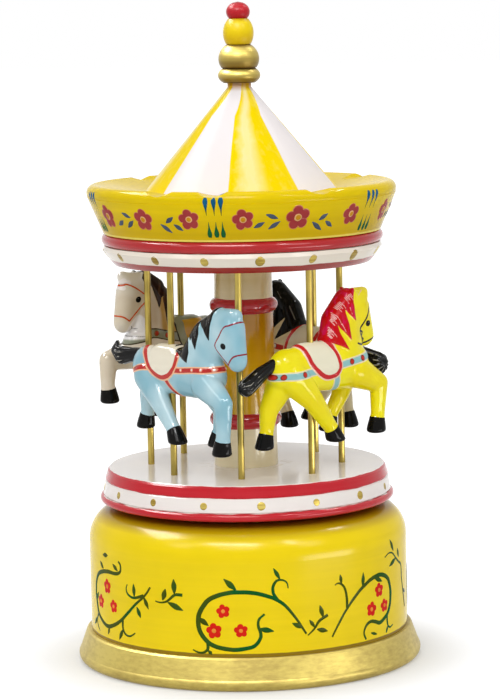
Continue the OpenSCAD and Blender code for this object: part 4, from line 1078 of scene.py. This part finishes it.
def paint_drum():
    on = dict(Unrolled_radius=DRUM_UNROLLED, Hand_shake=0.3 * MM, Wood=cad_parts["drum"])
    green = trim("vine_green", vine_colour, 0.15)
    red = trim("flower_red", (222, 36, 22), 0.12)
    heart = trim("flower_peach", (244, 156, 66), 0.15)
    ornament("drum_vines", "base", brush_strokes, flat_strokes(SCROLLS, DRUM_UNROLLED, full=1.16), green,
             Step=0.6 * MM, **on)
    places = flat_points(DRUM_FLOWERS, DRUM_UNROLLED)
    ornament("drum_flowers", "base", flower_petals, places, red, "red_paint",
             Flower_radius=2.05 * MM, Edge=0.0, Relief=0.1, **on)
    ornament("drum_flower_hearts", "base", flower_hearts, places.copy(), heart,
             Heart_radius=0.62 * MM, Heart_height=0.42, **on)


def drops(offsets, top, drop_by):
    """A row of long drops at each place where the crown has them, each a stroke of seven points."""
    widths = (0.4, 0.7, 0.64, 0.4, 0.22, 0.13, 0.05)
    return [(widths, *((a + k, top + drop_by * n) for n in range(7))) for a in CROWN_DROPS for k in offsets]


def paint_crown():
    on = dict(Unrolled_radius=CROWN_UNROLLED, Hand_shake=0.4 * MM, Wood=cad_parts["crown"])
    leaves = [leaf(a + a0, LEAF_HEIGHT + h0, a + a1, LEAF_HEIGHT + h1, 0.66)
              for a, group in CROWN_LEAVES for a0, h0, a1, h1 in group]
    blue, green, grey = (trim("drop_blue", drop_colour), trim("drop_green", (22, 100, 52)),
                         trim("leaf_grey_blue", (78, 90, 108)))
    for name, strokes, paint, slot in (
            ("crown_blue_drops", drops((-3, 0, 2.6), 137.2, -0.86), blue, "blue_paint"),
            ("crown_green_drops", drops((-2.5, 0.2, 2.8), 125.9, 0.74), green, None),
            ("crown_leaves", leaves, grey, None)):
        ornament(name, "carousel", brush_strokes, flat_strokes(strokes, CROWN_UNROLLED), paint, slot,
                 Step=0.4 * MM, **on)
    places = flat_points(CROWN_FLOWERS, CROWN_UNROLLED)
    red, edge = trim("flower_dull_red", (166, 62, 62), 0.16), trim("flower_edge", (214, 138, 84), 0.15)
    rim, ochre = trim("flower_rim", (226, 176, 120), 0.15), trim("flower_ochre", (204, 142, 30), 0.15)
    ornament("crown_flowers", "carousel", flower_petals, places, red, "red_paint",
             Flower_radius=3.1 * MM, Edge=0.0, Relief=0.1, **on)
    ornament("crown_flower_edges", "carousel", flower_petals, places.copy(), edge,
             Flower_radius=3.1 * MM, Edge=0.15 * MM, Relief=0.055, **on)
    ornament("crown_flower_rims", "carousel", flower_hearts, places.copy(), rim,
             Heart_radius=1.08 * MM, Heart_height=0.26, **on)
    ornament("crown_flower_hearts", "carousel", flower_hearts, places.copy(), ochre,
             Heart_radius=0.92 * MM, Heart_height=0.36, **on)


def gild_dots():
    """Sixteen gold dots round each white band."""
    gold = gilt("dot_gold", (120, 120, 2600), shade=1.3)
    for name, node, up, size, first in (("canopy_dots", "canopy_disc", 3.4, 1.4, 7.0),
                                        ("platform_dots", "platform", 4.3, 1.15, 5.4)):
        ornament(name, "carousel", ring_of_dots, bpy.data.meshes.new("none"), gold, "gilt_wood",
                 Count=16, First=first / 360, Height=(low(node) + up) * MM, Dot_radius=size * MM,
                 Unrolled_radius=DOTS_UNROLLED, Hand_shake=0.3 * MM, Wood=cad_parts[node])


paint_drum()
paint_crown()
gild_dots()


# ---- camera, floor and light ----

def place_camera():
    """A long lens a little above the music box, looking slightly down on it."""
    turn, down, tilt = radians(-0.11), radians(7.12), radians(-1.08)
    data = bpy.data.cameras.new("camera")
    data.lens, data.sensor_width, data.clip_start = 152.2, 36.0, 0.01
    camera = bpy.data.objects.new("camera", data)
    aim = (Matrix.Rotation(turn, 3, "Z") @ Matrix.Rotation(pi / 2 - down, 3, "X")
           @ Matrix.Rotation(tilt, 3, "Z"))
    camera.matrix_world = Matrix.Translation((0, -0.852, 0.196)) @ aim.to_4x4()
    bpy.context.collection.objects.link(camera)
    bpy.context.scene.camera = camera


# Name, place, height on the axis that it faces, size and watts, in metres. A card only shows in the gloss
# and adds no light of its own.
LAMPS = (("front_high", (-0.08, -0.58, 0.56), 0.10, (0.34, 0.22), 1.54),
         ("overhead", (-0.06, 0.05, 0.90), 0.07, (0.30, 0.34), 1.2),
         ("window_right", (0.56, -0.46, 0.60), 0.06, (0.24, 0.24), 1.0),
         ("window_left", (-0.58, -0.40, 0.60), 0.06, (0.24, 0.24), 0.9),
         ("card_left_behind", (-0.42, 0.16, 0.66), 0.05, (0.56, 0.22), 10.0),
         ("card_right_behind", (0.42, 0.22, 0.70), 0.05, (0.08, 0.08), 1.0),
         ("card_low_right", (0.20, -0.145, 0.027), 0.027, (0.16, 0.046), 0.24),
         ("card_front_left", (-0.13, -0.50, 0.68), 0.10, (0.46, 0.09), 5.4),
         ("card_front_right", (0.36, -0.44, 0.70), 0.09, (0.05, 0.20), 1.5))


def softbox(name, place, aim_height, size, watts):
    """A white lamp that faces the music box's axis."""
    data = bpy.data.lights.new(name, "AREA")
    data.shape, data.size, data.size_y, data.energy = "RECTANGLE", size[0], size[1], watts
    lamp = bpy.data.objects.new(name, data)
    lamp.location = place
    lamp.rotation_euler = (Vector((0, 0, aim_height)) - Vector(place)).to_track_quat("-Z", "Y").to_euler()
    lamp.visible_camera = False
    lamp.visible_diffuse = not name.startswith("card")
    bpy.context.collection.objects.link(lamp)


def seen(nodes):
    """1 where the camera, a reflection or a look through glass meets the surface."""
    rays = [nodes.add("LightPath", out=f"Is {kind} Ray") for kind in ("Camera", "Glossy", "Transmission")]
    return (rays[0] + rays[1] + rays[2]).clamped()


def light_the_room():
    """Soft white light from all round, and a room that looks white to the camera and in reflections."""
    world = bpy.data.worlds.new("studio")
    bpy.context.scene.world = world
    world.use_nodes = True
    world.node_tree.nodes.clear()
    room = Nodes(world.node_tree, "ShaderNode")
    shown = room.add("Background", (1, 1, 1, 1), 1.0)
    falling = room.add("Background", (1, 1, 1, 1), 0.55)
    both = room.add("MixShader", seen(room), falling, shown)
    room.tree.links.new(both.socket, room.tree.nodes.new("ShaderNodeOutputWorld").inputs[0])
    for name, place, aim_height, size, watts in LAMPS:
        softbox(name, place, aim_height, size, watts)


def lay_floor():
    """A pale floor that keeps the shadow round the foot and turns plain white further out."""
    data = bpy.data.meshes.new("floor")
    half = 6.0
    corners = [(x * half, y * half, 0) for x, y in ((-1, -1), (1, -1), (1, 1), (-1, 1))]
    data.from_pydata(corners, [], [(0, 1, 2, 3)])
    floor = as_object("floor", data)
    floor.location.z = -0.02 * MM
    paint = Paint("floor_white", Roughness=0.9)
    paint.finish(Base_Color=paint.mix(paint.noise(30.0), (0.72, 0.72, 0.72, 1), (0.74, 0.74, 0.74, 1)))
    out = next(node for node in paint.tree.nodes if node.type == "OUTPUT_MATERIAL")
    lit = Value(paint, paint.shader.outputs[0])
    plain = paint.add("Emission", (1, 1, 1, 1), 1.2)
    share = (0.25 + paint.radius().above(64.0, 26.0) * 0.75).clamped() * seen(paint)
    both = paint.add("MixShader", share, lit, plain)
    paint.tree.links.new(both.socket, out.inputs[0])
    data.materials.append(paint.material)


bpy.context.scene.view_settings.view_transform = "Standard"
place_camera()
light_the_room()
lay_floor()
